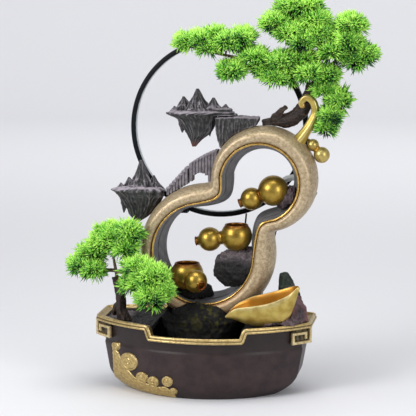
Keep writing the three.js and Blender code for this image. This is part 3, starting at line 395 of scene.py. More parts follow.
# A painted casting: base mottled to dark, hollows darkened as painted shade, edges brushed lighter as worn
# paint, upward faces lighter as dry-brushed paint and painted highlight, and an accent colour where the
# piece's shade attribute is high: painted shade on most pieces, real moss, warm patches and a reddish tip
# on some rocks.
def painted(name, look):
    material = bpy.data.materials.new(name)
    material.use_nodes = True
    tree = material.node_tree
    shader = tree.nodes["Principled BSDF"]
    place = tree.nodes.new("ShaderNodeTexCoord").outputs["Object"]
    if "stretch" in look:
        mapping = tree.nodes.new("ShaderNodeMapping")
        mapping.inputs["Scale"].default_value = look["stretch"]
        tree.links.new(place, mapping.inputs["Vector"])
        place = mapping.outputs["Vector"]
    grain = tree.nodes.new("ShaderNodeGroup")
    grain.node_tree = castGrain
    grain.inputs["Scale"].default_value = 1 / (look["grain"] * mm)
    grain.inputs["Pits"].default_value = look.get("pits", 0.2)
    tree.links.new(place, grain.inputs["Place"])
    wearAndLightMasks = tree.nodes.new("ShaderNodeGroup")
    wearAndLightMasks.node_tree = wearAndPaintedLight
    wearAndLightMasks.inputs["Width"].default_value = look.get("edgeWidth", 0.06)
    tree.links.new(grain.outputs["Mottle"], wearAndLightMasks.inputs["Mottle"])
    shade = tree.nodes.new("ShaderNodeAttribute")
    shade.attribute_name = "shade"
    colour = mixColour(tree, look["dark"], look["base"], grain.outputs["Mottle"])
    speck = remap(tree, grain.outputs["Speckle"], 0.56, 0.68, 0.0, look.get("speckle", 0.0))
    colour = mixColour(tree, colour, look["light"], speck)
    # upward faces lighter: dry-brushed paint and painted highlight from above
    brushedAndLitTop = mathNode(tree, "MULTIPLY", wearAndLightMasks.outputs["Upward"], look.get("top", 0.0))
    colour = mixColour(tree, colour, look["light"], brushedAndLitTop)
    # painted shade: hollows darkened
    hollow = mathNode(tree, "MULTIPLY", wearAndLightMasks.outputs["Hollow"], look.get("hollow", 0.5))
    colour = mixColour(tree, colour, look.get("hollowColour", look["dark"]), hollow)
    edge = mathNode(tree, "MULTIPLY", wearAndLightMasks.outputs["Edge"], look.get("edge", 0.4))
    colour = mixColour(tree, colour, look["light"], edge)
    # shade attribute colour: painted shade on most pieces; real moss, warm patches and a reddish tip on
    # some rocks
    accent = mathNode(tree, "ADD", mathNode(tree, "MULTIPLY", grain.outputs["Mottle"], 0.35), 0.75)
    accent = mathNode(tree, "MULTIPLY", accent, shade.outputs["Fac"], clamp=True)
    colour = mixColour(tree, colour, look.get("accent", look["dark"]), accent)
    tree.links.new(colour, shader.inputs["Base Color"])
    rough = remap(tree, grain.outputs["Height"], 0.2, 0.8, look["rough"] - 0.06, look["rough"] + 0.08)
    tree.links.new(rough, shader.inputs["Roughness"])
    shader.inputs["Metallic"].default_value = look.get("metal", 0.0)
    shader.inputs["Specular IOR Level"].default_value = look.get("specular", 0.5)
    shader.inputs["Coat Weight"].default_value = look.get("coat", 0.0)
    shader.inputs["Coat Roughness"].default_value = 0.25
    bump = tree.nodes.new("ShaderNodeBump")
    bump.inputs["Strength"].default_value = look.get("bump", 0.3)
    bump.inputs["Distance"].default_value = look["grain"] * mm * 0.5
    tree.links.new(grain.outputs["Height"], bump.inputs["Height"])
    tree.links.new(bump.outputs["Normal"], shader.inputs["Normal"])
    return material


finish = {
    "basin": dict(base=(0.038, 0.02, 0.02), dark=(0.018, 0.009, 0.01), light=(0.12, 0.08, 0.07), rough=0.36,
                  grain=16, bump=0.05, speckle=0.05, edge=0.15, hollow=0.2, accent=(0.01, 0.007, 0.005),
                  specular=0.35),
    "antiqueGold": dict(base=(0.6, 0.45, 0.18), dark=(0.36, 0.24, 0.08), light=(0.95, 0.85, 0.6), rough=0.3,
                        grain=3.5, bump=0.12, speckle=0.1, edge=0.35, hollow=0.35, metal=0.75,
                        hollowColour=(0.06, 0.035, 0.015), edgeWidth=0.1, accent=(0.012, 0.007, 0.004)),
    "champagne": dict(base=(0.52, 0.41, 0.26), dark=(0.3, 0.215, 0.115), light=(0.95, 0.86, 0.66),
                      rough=0.36,
                      grain=3.4, bump=0.2, pits=0.5, speckle=0.6, edge=0.0, hollow=0.0, metal=0.5,
                      accent=(0.2, 0.085, 0.02)),
    "brightGold": dict(base=(0.75, 0.5, 0.15), dark=(0.5, 0.3, 0.07), light=(1.0, 0.85, 0.5), rough=0.22,
                       grain=6, bump=0.05, edge=0.0, hollow=0.0, metal=0.85),
    "liner": dict(base=(0.15, 0.145, 0.15), dark=(0.07, 0.066, 0.07), light=(0.36, 0.35, 0.37), rough=0.5,
                  grain=9, bump=0.15, stretch=(1, 4, 1), speckle=0.15, edge=0.3, hollow=0.6,
                  accent=(0.006, 0.006, 0.006)),
    "rock": dict(base=(0.035, 0.038, 0.035), dark=(0.009, 0.009, 0.01), light=(0.42, 0.37, 0.42),
                 rough=0.62,
                 grain=6, bump=0.5, speckle=0.1, edge=0.6, top=0.75, hollow=0.9, edgeWidth=0.1,
                 accent=(0.17, 0.05, 0.03), hollowColour=(0.004, 0.004, 0.005), specular=0.35),
    # near-black all over as painted shade for rocks deep in the basin; its accent colour is real moss
    "darkRock": dict(base=(0.006, 0.005, 0.005), dark=(0.003, 0.003, 0.003), light=(0.03, 0.026, 0.024),
                     rough=0.6,
                     grain=7, bump=0.5, speckle=0.1, edge=0.15, top=0.0, accent=(0.075, 0.07, 0.008),
                     specular=0.2),
    "cliffRock": dict(base=(0.075, 0.06, 0.065), dark=(0.02, 0.016, 0.019), light=(0.34, 0.28, 0.31),
                      rough=0.55,
                      grain=7, bump=0.5, speckle=0.12, edge=0.5, top=0.3, hollow=0.9, edgeWidth=0.1,
                      accent=(0.005, 0.005, 0.005), hollowColour=(0.005, 0.004, 0.005), specular=0.3),
    "mauveRock": dict(base=(0.085, 0.055, 0.06), dark=(0.02, 0.016, 0.02), light=(0.3, 0.2, 0.21),
                      rough=0.5,
                      grain=8, bump=0.5, speckle=0.12, edge=0.5, top=0.15, hollow=0.9, edgeWidth=0.1,
                      accent=(0.25, 0.09, 0.085), hollowColour=(0.005, 0.004, 0.005), specular=0.35),
    "mossRock": dict(base=(0.02, 0.03, 0.02), dark=(0.006, 0.008, 0.007), light=(0.11, 0.15, 0.11),
                     rough=0.55,
                     grain=6, bump=0.5, speckle=0.1, edge=0.4, top=0.2, hollow=0.8, edgeWidth=0.1,
                     specular=0.3),
    "gold": dict(base=(0.4, 0.27, 0.05), dark=(0.27, 0.17, 0.025), light=(0.8, 0.62, 0.24), rough=0.28,
                 grain=9, bump=0.05, speckle=0.06, edge=0.0, hollow=0.0, metal=0.85,
                 accent=(0.16, 0.042, 0.008)),
    "oliveGold": dict(base=(0.5, 0.38, 0.085), dark=(0.34, 0.23, 0.035), light=(0.95, 0.85, 0.5), rough=0.3,
                      grain=10, bump=0.06, speckle=0.06, edge=0.5, hollow=0.2, metal=0.7,
                      accent=(0.55, 0.22, 0.015)),
    "wood": dict(base=(0.028, 0.015, 0.011), dark=(0.008, 0.005, 0.004), light=(0.17, 0.1, 0.07),
                 rough=0.48,
                 grain=5, bump=0.6, stretch=(0.5, 1, 1.4), edge=0.35, top=0.1, hollow=0.8, specular=0.4),
    "bark": dict(base=(0.15, 0.09, 0.055), dark=(0.07, 0.04, 0.022), light=(0.36, 0.27, 0.19), rough=0.7,
                 grain=2.5, bump=0.5, edge=0.3, hollow=0.5),
    "housing": dict(base=(0.004, 0.005, 0.007), dark=(0.003, 0.003, 0.004), light=(0.03, 0.032, 0.036),
                    rough=0.4,
                    grain=3, bump=0.08, edge=0.05, specular=0.1),
    "diffuser": dict(base=(0.5, 0.55, 0.58), dark=(0.42, 0.46, 0.49), light=(0.7, 0.74, 0.76), rough=0.45,
                     grain=8, bump=0.04, edge=0.2),
    "steel": dict(base=(0.55, 0.55, 0.54), dark=(0.4, 0.4, 0.39), light=(0.75, 0.75, 0.74), rough=0.3,
                  grain=1.2, bump=0.1, metal=1.0),
    "pumpBlack": dict(base=(0.016, 0.017, 0.02), dark=(0.01, 0.01, 0.012), light=(0.06, 0.06, 0.065),
                      rough=0.42,
                      grain=1.5, bump=0.15, edge=0.3),
    "pumpWhite": dict(base=(0.75, 0.76, 0.78), dark=(0.66, 0.67, 0.68), light=(0.9, 0.9, 0.9), rough=0.35,
                      grain=3, bump=0.05, edge=0.2),
    "ceramic": dict(base=(0.82, 0.8, 0.74), dark=(0.74, 0.72, 0.66), light=(0.93, 0.92, 0.9), rough=0.2,
                    grain=2, bump=0.04),
    "rubber": dict(base=(0.02, 0.02, 0.02), dark=(0.012, 0.012, 0.012), light=(0.07, 0.07, 0.07), rough=0.7,
                   grain=1.5, bump=0.2, edge=0.2),
    "tubing": dict(base=(0.5, 0.54, 0.52), dark=(0.4, 0.44, 0.42), light=(0.68, 0.7, 0.69), rough=0.3,
                   grain=6, bump=0.05, coat=0.4),
}
paint = {name: painted(name, look) for name, look in finish.items()}


# Needles: shade runs from 0 deep inside to 1 at the tips, and colour follows it
def needleFinish():
    material = bpy.data.materials.new("needles")
    material.use_nodes = True
    tree = material.node_tree
    shader = tree.nodes["Principled BSDF"]
    shade = tree.nodes.new("ShaderNodeAttribute")
    shade.attribute_name = "shade"
    place = tree.nodes.new("ShaderNodeTexCoord").outputs["Object"]
    patch = noiseNode(tree, place, 60.0, 2)
    level = mathNode(tree, "ADD", shade.outputs["Fac"], remap(tree, patch, 0.3, 0.7, -0.16, 0.16))
    ramp = tree.nodes.new("ShaderNodeValToRGB")
    tree.links.new(level, ramp.inputs["Fac"])
    stops = [(0.0, (0.003, 0.016, 0.008)), (0.3, (0.015, 0.12, 0.025)), (0.55, (0.15, 0.5, 0.035)),
             (1.0, (0.55, 0.95, 0.14))]
    ramp.color_ramp.elements[0].position, ramp.color_ramp.elements[1].position = 0.0, 1.0
    for position, _ in stops[1:-1]:
        ramp.color_ramp.elements.new(position)
    for element, (position, colour) in zip(ramp.color_ramp.elements, stops):
        element.position = position
        element.color = (*colour, 1.0)
    tree.links.new(ramp.outputs["Color"], shader.inputs["Base Color"])
    rough = remap(tree, noiseNode(tree, place, 900.0, 2), 0.3, 0.7, 0.38, 0.55)
    tree.links.new(rough, shader.inputs["Roughness"])
    bump = tree.nodes.new("ShaderNodeBump")
    bump.inputs["Strength"].default_value = 0.25
    bump.inputs["Distance"].default_value = 0.0004
    tree.links.new(noiseNode(tree, place, 1500.0, 2), bump.inputs["Height"])
    tree.links.new(bump.outputs["Normal"], shader.inputs["Normal"])
    return material


paint["needles"] = needleFinish()
print("finishes ready")

basinShape = dict(halfWidth=138, cornerY=-25, frontArc=183, endY=30, backArc=444, centreY=-31, wallTop=88,
                  wall=5, floor=5, notchHalf=62, notchDrop=12.5, stepHalf=3.2, bandFoot=60, bandDepth=1.6,
                  frontReach=56.8, scaleAtTop=0.95, lean=0.115, foot=0.175, footHeight=30)


# Rim in plan: front arc, straight ends and back arc, evenly spaced and averaged to round the corners
def rimPlan(shape, count=900, rounding=4):
    half = shape["halfWidth"]
    frontCentre = shape["cornerY"] + math.sqrt(shape["frontArc"] ** 2 - half**2)
    backCentre = shape["endY"] - math.sqrt(shape["backArc"] ** 2 - half**2)
    x = np.linspace(-half, half, 600)
    front = np.column_stack([x, frontCentre - np.sqrt(shape["frontArc"] ** 2 - x**2)])
    back = np.column_stack([-x, backCentre + np.sqrt(shape["backArc"] ** 2 - x**2)])
    line = np.vstack([front, back, front[:1]])
    run = np.concatenate([[0], np.cumsum(np.linalg.norm(np.diff(line, axis=0), axis=1))])
    at = np.linspace(0, run[-1], count, endpoint=False)
    plan = np.column_stack([np.interp(at, run, line[:, k]) for k in (0, 1)])
    for _ in range(rounding):
        plan = (np.roll(plan, 1, 0) + 2 * plan + np.roll(plan, -1, 0)) / 4
    return plan


# How far out the wall stands at a height, as a part of the rim's size
def wallScale(z):
    z = np.asarray(z, float)
    shape = basinShape
    tuckedIn = shape["foot"] * np.clip(1 - z / shape["footHeight"], 0, 1) ** 2.4
    return shape["scaleAtTop"] - shape["lean"] * (1 - np.clip(z / (shape["wallTop"] + 1), 0, 1)) - tuckedIn


# A place on the wall under a rim point, moved out from it by some millimetres
def wallPoint(place, z, out=0.0):
    shape = basinShape
    centre = shape["centreY"]
    across = wallScale(z) + out / shape["halfWidth"]
    deep = wallScale(z) + out / shape["frontReach"]
    return np.stack(np.broadcast_arrays(place[..., 0] * across, centre + (place[..., 1] - centre) * deep,
                                        z), -1)


# Height of the wall's top along the rim: it steps down smoothly in the middle of the front
def wallTopAt(plan):
    shape = basinShape
    edge = smoothStep(shape["notchHalf"] + shape["stepHalf"], shape["notchHalf"] - shape["stepHalf"],
                      np.abs(plan[:, 0]))
    return shape["wallTop"] - shape["notchDrop"] * edge * (plan[:, 1] < -40)


plan = rimPlan(basinShape)


# Wall rows at shares of the rim height, closed by an underside below and an inner wall drawn in
# by the wall thickness; the band over bandFoot stands back by bandDepth. Painted shade: the inside is
# near-black, and the upper band and the wall near the foot are darker
def basinShell():
    shape = basinShape
    top = wallTopAt(plan)
    share = np.concatenate([np.linspace(0, 0.05, 8), np.linspace(0.07, 1, 44)])
    outside = []
    for part in share:
        z = part * top
        recess = -shape["bandDepth"] * smoothStep(shape["bandFoot"] - 1.5, shape["bandFoot"] + 1.5, z)
        outside.append(wallPoint(plan, z, recess))
    underside = [wallPoint(plan * np.array([k, k]) + np.array([0, shape["centreY"] * (1 - k)]),
                           np.zeros(len(plan)))
                 for k in (0.02, 0.4, 0.8, 0.97)]
    inside = [wallPoint(plan, z, -shape["wall"]) for z in (top, top - 2)]
    inside += [wallPoint(plan, shape["floor"] + (top - 2 - shape["floor"]) * (1 - k),
                         -shape["wall"] - 3 * k**4)
               for k in np.linspace(0.05, 1, 20)]
    inner = inside[-1]
    middle = np.array([0, shape["centreY"], shape["floor"]])
    inside += [middle + (inner - middle) * k for k in (0.7, 0.35, 0.02)]
    grid = np.stack(underside + outside + inside)
    # painted shade: darker over the upper band and near the foot, near-black inside
    basinPaintedShade = 0.55 * smoothStep(52, 68, grid[..., 2]) + 0.4 * smoothStep(14, 2, grid[..., 2])
    basinPaintedShade[len(underside) + len(outside):] = 1.0
    return skin(grid, shade=basinPaintedShade)


# Two beads side by side with a groove between, carried square to the rim line
def rimShell():
    top = wallTopAt(plan)
    line = wallPoint(plan, np.full(len(plan), float(basinShape["wallTop"])))
    line[:, 2] = top
    run = np.roll(line, -1, 0) - np.roll(line, 1, 0)
    run /= np.linalg.norm(run, axis=1, keepdims=True)
    flat = np.column_stack([run[:, 1], -run[:, 0], np.zeros(len(run))])
    flat /= np.linalg.norm(flat, axis=1, keepdims=True)
    up = np.cross(flat, run)
    up *= np.sign(up[:, 2:3])
    arc = lambda cx, cy, r, a, b, n: [(cx + r * math.cos(t), cy + r * math.sin(t))
                                      for t in np.radians(np.linspace(a, b, n))]
    section = [(-5, 0.3), (-5, 3.0)] + arc(3.2, 3.1, 2.1, 165, -35, 14)
    section += arc(4.6, -0.1, 1.7, 55, -150, 12) + [(0.6, 0.3)]
    section = np.array(section)
    grid = (line[:, None] + section[None, :, 0, None] * flat[:, None] + section[None, :, 1, None]
            * up[:, None])
    # painted shade in the groove between the beads
    groove = np.zeros(len(section))
    groove[15:17] = 0.8
    return skin(grid, ring=True, shade=np.ones((len(grid), 1)) * groove)


fretShape = dict(bar=3.6, width=30, height=19, gap=3.8, depth=4.0, below=1.8, plate=9.5)


# Square spiral swept along its centre line with mitred corners, then bent round the front arc
def fretShell(side):
    s, b = fretShape, basinShape
    half = s["bar"] / 2
    inner = s["bar"] + s["gap"] + half
    high = s["height"] - s["gap"] - half
    corners = np.array([[half, s["height"] + 1], [half, half], [s["width"] - half, half],
                        [s["width"] - half, high],
                        [inner, high], [inner, s["bar"] + 2.6]])
    legs = np.diff(corners, axis=0)
    legs /= np.linalg.norm(legs, axis=1, keepdims=True)
    normal = np.column_stack([-legs[:, 1], legs[:, 0]])
    lean = np.vstack([normal[:1], normal[:-1] + normal[1:], normal[-1:]])
    stops = np.linspace(0, 1, 9)
    line = np.vstack([corners[k] + (corners[k + 1] - corners[k]) * stops[:, None] for k in range(5)])
    offset = np.vstack([np.vstack([lean[k], np.repeat(normal[k:k + 1], 7, 0), lean[k + 1]])
                        for k in range(5)])
    shape = np.array([(-1, 0), (-1, 0.8), (-0.75, 1), (0.75, 1), (1, 0.8), (1, 0)])
    flat = line[:, None] + half * shape[None, :, :1] * offset[:, None]
    bars = np.stack([flat[..., 0], np.broadcast_to(s["depth"] * (1 - shape[:, 1]), flat.shape[:2]),
                     flat[..., 1]], -1)
    rows = np.linspace(0.2, s["width"] - 0.2, 16)
    ends = np.array([(2.4, 0.3), (2.4, s["height"] + 1), (s["plate"], s["height"] + 1), (s["plate"], 0.3)])
    plate = np.stack([np.column_stack([np.full(4, x), ends]) for x in rows])
    centre = b["cornerY"] + math.sqrt(b["frontArc"] ** 2 - b["halfWidth"] ** 2)
    corner = math.asin((b["halfWidth"] - 0.5) / b["frontArc"])
    base = b["wallTop"] - s["below"] - s["height"]

    def bent(grid):
        turn = corner - grid[..., 0] / b["frontArc"]
        radius = b["frontArc"] - 0.5 - grid[..., 1]
        return np.stack([side * radius * np.sin(turn), centre - radius * np.cos(turn), base + grid[..., 2]],
                        -1)

    # the backing plate behind the bars is shaded near-black: painted shade between the bars
    return together([skin(bent(bars)), skin(bent(plate), shade=0.97)])


waveShape = dict(crests=[(-106, 57, 5.5), (-87, 41, 12), (-69, 23, 8), (-54, 20, 7.5), (-35, 23, 7),
                         (-28, 10, 5)],
                 swell=[(-112, 56), (-104, 50), (-95, 36), (-80, 22), (-66, 17), (-50, 14), (-38, 16),
                        (-30, 9), (-25, 1)],
                 height=3.6, end=-26, heights=(1.0, 66))


# Height of the relief over the wall: rounded crests with a spiral groove each, over a flowing foot
def waveHeight(x, z):
    height = np.full(x.shape, -2.0)
    foot = np.interp(x, *np.array(waveShape["swell"]).T)
    inside = smoothStep(foot + 1, foot - 1, z) * smoothStep(-114, -111, x) * smoothStep(-24, -27, x)
    strands = 0.45 * np.abs(np.sin((z * 0.75 + x * 0.62 + 2.5 * np.sin(x / 9)) * 0.75))
    height = np.maximum(height, -2 + inside * (4.2 - strands))
    for cx, cz, r in waveShape["crests"]:
        d = np.hypot(x - cx, z - cz) / r
        spin = np.arctan2(z - cz, x - cx) / (2 * math.pi)
        groove = np.abs((d * 1.7 - spin) % 1 - 0.5)
        cut = 1.1 * smoothStep(0.14, 0.04, groove) * (d < 0.92)
        bump = 2.2 + 1.4 * np.sqrt(np.clip(1 - d**2, 0, 1)) - cut
        height = np.where(d < 1, np.maximum(bump - 2.6 * smoothStep(0.93, 1.0, d), height), height)
    return height


# Sheet over the front wall moved out by waveHeight, closed by the same sheet 3 mm inside the wall
def waveShell():
    front = plan[plan[:, 1] < basinShape["cornerY"] - 1.0]
    front = front[np.argsort(front[:, 0])]
    rimX = np.linspace(front[0, 0] + 0.5, waveShape["end"], 250)
    rimY = np.interp(rimX, front[:, 0], front[:, 1])
    z = np.linspace(*waveShape["heights"], 170)
    place = np.broadcast_to(np.stack([rimX, rimY], -1)[None], (len(z), len(rimX), 2))
    zz = np.broadcast_to(z[:, None], place.shape[:2])
    xx = rimX[None] * wallScale(z)[:, None]
    rise = waveHeight(xx, zz)
    face = wallPoint(place, zz, np.minimum(rise, waveShape["height"]))
    behind = wallPoint(place, zz, np.full(zz.shape, -3.0))
    grid = np.concatenate([face, behind[:, ::-1]], axis=1)
    # painted shade where the relief is low, between and below the crests
    dark = smoothStep(1.6, 0.2, rise)
    return skin(grid, shade=np.concatenate([dark, dark * 0], axis=1) * 0.6)


piece("basinBody", basinShell(), paint["basin"], ["basin"])
piece("rimMoulding", rimShell(), paint["antiqueGold"], ["rim_trim"])
piece("fretLeft", fretShell(-1), paint["antiqueGold"], ["fret_left"], sharp=35)
piece("fretRight", fretShell(1), paint["antiqueGold"], ["fret_right"], sharp=35)
piece("waveRelief", waveShell(), paint["antiqueGold"], ["wave_relief"])
print("basin ready")

ringShape = dict(
    low=dict(x=-0.5, z=174, r=63, start=-10, end=108), high=dict(x=70, z=264, r=48, start=171, end=-67),
    left=(24, 243), right=(67, 215),
    lowOut=dict(x=3, z=174, r=86, start=10, end=95), highOut=dict(x=74, z=267, r=66.5, start=176, end=-71),
    leftOut=(7, 261), rightOut=(86, 202), steps=(200, 60, 150, 60), front=-30, back=17, throat=10)


# Outline: low arc, neck curve, high arc, neck curve; a neck is a cubic with both handles on its corner
def outline(low, high, left, right):
    def arc(c, start, end, count):
        turn = np.radians(np.linspace(start, end, count, endpoint=False))
        return np.column_stack([c["x"] + c["r"] * np.cos(turn), c["z"] + c["r"] * np.sin(turn)])

    def endOf(c, angle):
        return np.array([c["x"] + c["r"] * math.cos(math.radians(angle)),
                         c["z"] + c["r"] * math.sin(math.radians(angle))])

    def neck(a, corner, b, count):
        t = np.linspace(0, 1, count, endpoint=False)[:, None]
        return (1 - t) ** 3 * a + 3 * (1 - t) * t * np.array(corner, float) + t**3 * b

    s = ringShape["steps"]
    return np.vstack([
        arc(low, low["start"], low["end"] - 360, s[0]),
        neck(endOf(low, low["end"]), left, endOf(high, high["start"]), s[1]),
        arc(high, high["start"], high["end"], s[2]),
        neck(endOf(high, high["end"]), right, endOf(low, low["start"]), s[3]),
    ])


innerLine = outline(ringShape["low"], ringShape["high"], ringShape["left"], ringShape["right"])
outerLine = outline(ringShape["lowOut"], ringShape["highOut"], ringShape["leftOut"], ringShape["rightOut"])
ringOut = outerLine - innerLine
ringUnit = ringOut / np.linalg.norm(ringOut, axis=1, keepdims=True)


# A section of (part of the width, extra millimetres, y) carried round the whole outline
def ringShell(section, shades):
    section = np.asarray(section, float)
    flat = (innerLine[:, None] + section[None, :, 0, None] * ringOut[:, None]
            + section[None, :, 1, None] * ringUnit[:, None])
    grid = np.stack([flat[..., 0], np.broadcast_to(section[:, 2], flat.shape[:2]), flat[..., 1]], -1)
    return grid, np.broadcast_to(np.asarray(shades, float), flat.shape[:2]).copy()


# Front and outer side of the ring: a smooth bulge through set points, with painted shade next to the
# bead and low down
def frameShell():
    bend = smoothLine([(0.03, 2.2, -26.5), (0.09, 1.2, -26.9), (0.14, 0.6, -28.2), (0.34, 0, -30),
                       (0.64, 0, -28.6),
                       (0.87, 0, -20), (0.985, 0, -6), (0.95, 0, 7), (0.76, 0, 14.5), (0.5, 0, 16.8)], 60)
    section = np.vstack([[(0, 3.4, -19), (0, 3.2, -25.6), (0, 3.0, -26.4)], bend, [(0, 3.6, 17)]])
    near = np.clip(1 - section[:, 0] / 0.2, 0, 1)
    grid, shades = ringShell(section, 0.8 * near)
    lower = smoothStep(150, 95, grid[..., 2]) * 0.55
    shades += lower
    return skin(grid, ring=True, shade=np.clip(shades, 0, 1))


# Inside of the ring: it narrows by part to the power 1.3 towards the back, with two round grooves
def linerShell():
    part = np.linspace(0, 1, 36)
    groove = -2.2 * np.exp(-(((part - 0.42) / 0.035) ** 2)) - 0.5 * np.exp(-(((part - 0.8) / 0.02) ** 2))
    inside = np.column_stack([np.zeros(36), 0.2 - 10.2 * part**1.3 - groove, -20.5 + 37.5 * part])
    section = np.vstack([[(0, 3.3, 17), (0, 3.3, -20.5)], inside])
    # painted shade in the first groove
    dark = np.concatenate([[0, 0], 0.95 * np.exp(-(((part - 0.42) / 0.03) ** 2))])
    grid, shades = ringShell(section, dark)
    return skin(grid, ring=True, shade=shades)


# Bead: a small ellipse carried round the inner front edge
def beadShell():
    turn = np.linspace(0, 2 * math.pi, 14, endpoint=False)
    section = np.column_stack([np.zeros(14), 0.9 + 1.7 * np.cos(turn), -24.2 + 1.9 * np.sin(turn)])
    grid, shades = ringShell(section, np.zeros(14))
    return skin(grid, ring=True, shade=shades)


piece("gourdFrame", frameShell(), paint["champagne"], ["gourd_frame"])
piece("frameLiner", linerShell(), paint["liner"], ["frame_liner"])
piece("frameBead", beadShell(), paint["brightGold"], ["frame_bead"])
print("ring ready")

potShape = dict(
    top=dict(centre=(85, -6, 253), towards=(-27, 0, -11), big=19, small=14, apart=29, mouth=45.5,
             opening=0),
    middle=dict(centre=(39, -6, 195), towards=(-34, 0, -5.5), big=19.5, small=15, apart=34, mouth=52,
                opening=14.2),
    low=dict(centre=(-23, -8, 144.5), towards=(16, -21, -5.5), big=20.5, small=14.5, apart=24, mouth=41,
             opening=15.4))


# Neck and small ball of a pot along its axis: waist, ball, short spout with a rolled lip and a bore;
# painted shade at the waist and in the mouth
def spoutProfile(pot, closedBall):
    big, small, apart, mouth = pot["big"], pot["small"], pot["apart"], pot["mouth"]
    waist = 8.2
    start = -math.acos(waist / small)
    ball = [(small * math.cos(t), apart + small * math.sin(t))
            for t in np.linspace(start, math.pi / 2 - 0.5, 34)]
    foot = math.sqrt(big**2 - (waist + 1.6) ** 2)
    if closedBall:
        base = [(big * math.cos(t), big * math.sin(t))
                for t in np.linspace(-math.pi / 2 + 0.02, math.acos(waist / big) - 0.12, 44)]
    else:
        base = [(2.0, foot - 3), (waist - 1, foot - 1.8), (waist + 1.6, foot - 0.2),
                (waist + 0.5, foot + 0.4)]
    lip = [(6.2, mouth - 4.2), (5.3, mouth - 2.4), (5.2, mouth - 1), (5.9, mouth - 0.6), (5.9, mouth + 0.1),
           (5.2, mouth + 0.4),
           (3.6, mouth), (3.3, mouth - 1), (3.2, mouth - 9), (0.2, mouth - 9.4)]
    profile = np.array(base + [p for p in ball if p[1] < mouth - 3.4] + lip)
    run = profile[:, 1]
    gap = np.abs(run - (foot + apart - small * math.sin(-start)) / 2)
    shade = 0.75 * smoothStep(3.4, 0.4, gap) + smoothStep(mouth - 4.5, mouth - 1.5, run)
    return profile, np.clip(shade, 0, 1)


# Big ball of an open pot: an outer ball cut level at its opening, a rolled rim and the inner wall;
# painted shade inside the opening
def openBall(pot):
    big, opening, wall = pot["big"], pot["opening"], 2.4
    top = math.asin(math.sqrt(1 - (opening / big) ** 2))
    outer = [(big * math.cos(t), big * math.sin(t)) for t in np.linspace(-math.pi / 2 + 0.02, top, 46)]
    rim = big * math.sin(top)
    roll = [(opening + 0.5, rim + 0.5), (opening, rim + 1.1), (opening - 0.9, rim + 1.0),
            (opening - 1.4, rim + 0.3)]
    inner = [((big - wall) * math.cos(t), (big - wall) * math.sin(t))
             for t in np.linspace(top - 0.03, -math.pi / 2 + 0.02, 30)]
    profile = np.array(outer + roll + inner)
    shade = np.concatenate([smoothStep(rim - 5, rim, np.array(outer)[:, 1]) * 0.8, np.full(4, 0.85),
                            np.full(30, 1.0)])
    return turned(profile, pot["centre"], (0, 0, 1), 80, shade)


# Closed pot: two balls about one axis. Open pot: the small ball joined to a cut big ball.
def potShell(pot):
    profile, shade = spoutProfile(pot, not pot["opening"])
    arm = turned(profile, pot["centre"], pot["towards"], 72, shade)
    return together([arm, openBall(pot)]) if pot["opening"] else arm


for level in ("top", "middle", "low"):
    piece("pot" + level.capitalize(), potShell(potShape[level]), paint["gold"],
          ["pot_" + level])

miniGourdShape = dict(big=(144, 0, 298, 10), small=(133, 0, 310, 7.6))


# Two arcs of circles, big below and small above, with a blunt tip, turned about one axis; painted
# shade at the waist
def miniGourdShell():
    big, small = np.array(miniGourdShape["big"][:3], float), np.array(miniGourdShape["small"][:3], float)
    bigR, smallR = miniGourdShape["big"][3], miniGourdShape["small"][3]
    apart = np.linalg.norm(small - big)
    lower = [(bigR * math.cos(t), bigR * math.sin(t)) for t in np.linspace(-math.pi / 2 + 0.02, 1.05, 26)]
    upper = [(smallR * math.cos(t), apart + smallR * math.sin(t)) for t in np.linspace(-0.85, 1.25, 22)]
    tip = [(1.6, apart + smallR + 1.2), (1.3, apart + smallR + 3.2), (0.1, apart + smallR + 3.6)]
    profile = np.array(lower + upper + tip)
    shade = 0.8 * smoothStep(2.6, 0.3, np.abs(profile[:, 1] - (apart + bigR * 0.87 - smallR * 0.75) / 2))
    return turned(profile, big, small - big, 48, shade)


piece("miniGourd", miniGourdShell(), paint["oliveGold"], ["mini_gourd"])

stalkShape = dict(path=[(113, 311), (121, 322), (130, 336), (136, 350), (134, 363), (126, 369), (119, 363),
                        (122, 356)],
                  radii=[9.5, 6.6, 5.4, 4.8, 4.6, 4.3, 3.8, 3.4], y=-6)


# Curled tube with four twisted ribs that thins towards its tip; painted shade where it joins the ring,
# and browner near the tip
def stalkShell():
    flat = smoothLine(stalkShape["path"], 110)
    path = np.column_stack([flat[:, 0], np.full(110, float(stalkShape["y"])), flat[:, 1]])
    radii = smoothLine(stalkShape["radii"], 110)[:, 0]
    radii[-6:] *= np.sqrt(np.linspace(1, 0.08, 6))
    along = np.linspace(0, 1, 110)
    shades = 0.7 * smoothStep(0.1, 0.0, along) + 0.35 * smoothStep(0.85, 1.0, along)
    return tube(path, radii, 40, (0, 1, 0), shades, ribs=0.09, ribCount=4, twist=3.5)


piece("stalk", stalkShell(), paint["oliveGold"], ["stalk"])

bowlShape = dict(
    near=[(34, -61.5, 104), (46, -62, 113), (63, -62, 116), (80, -62, 119), (96, -61, 124), (112, -56, 132),
          (122, -48, 141)],
    far=[(34, -59, 104), (45, -45, 115), (62, -33.5, 123), (80, -32, 128), (97, -32, 133), (114, -36, 139),
         (122, -46, 142)],
    keel=[(34, -60, 102), (46, -55, 99), (60, -50, 93.5), (76, -47, 91), (94, -46, 94), (112, -46, 103),
          (124, -47, 139)],
    lip=0.9)


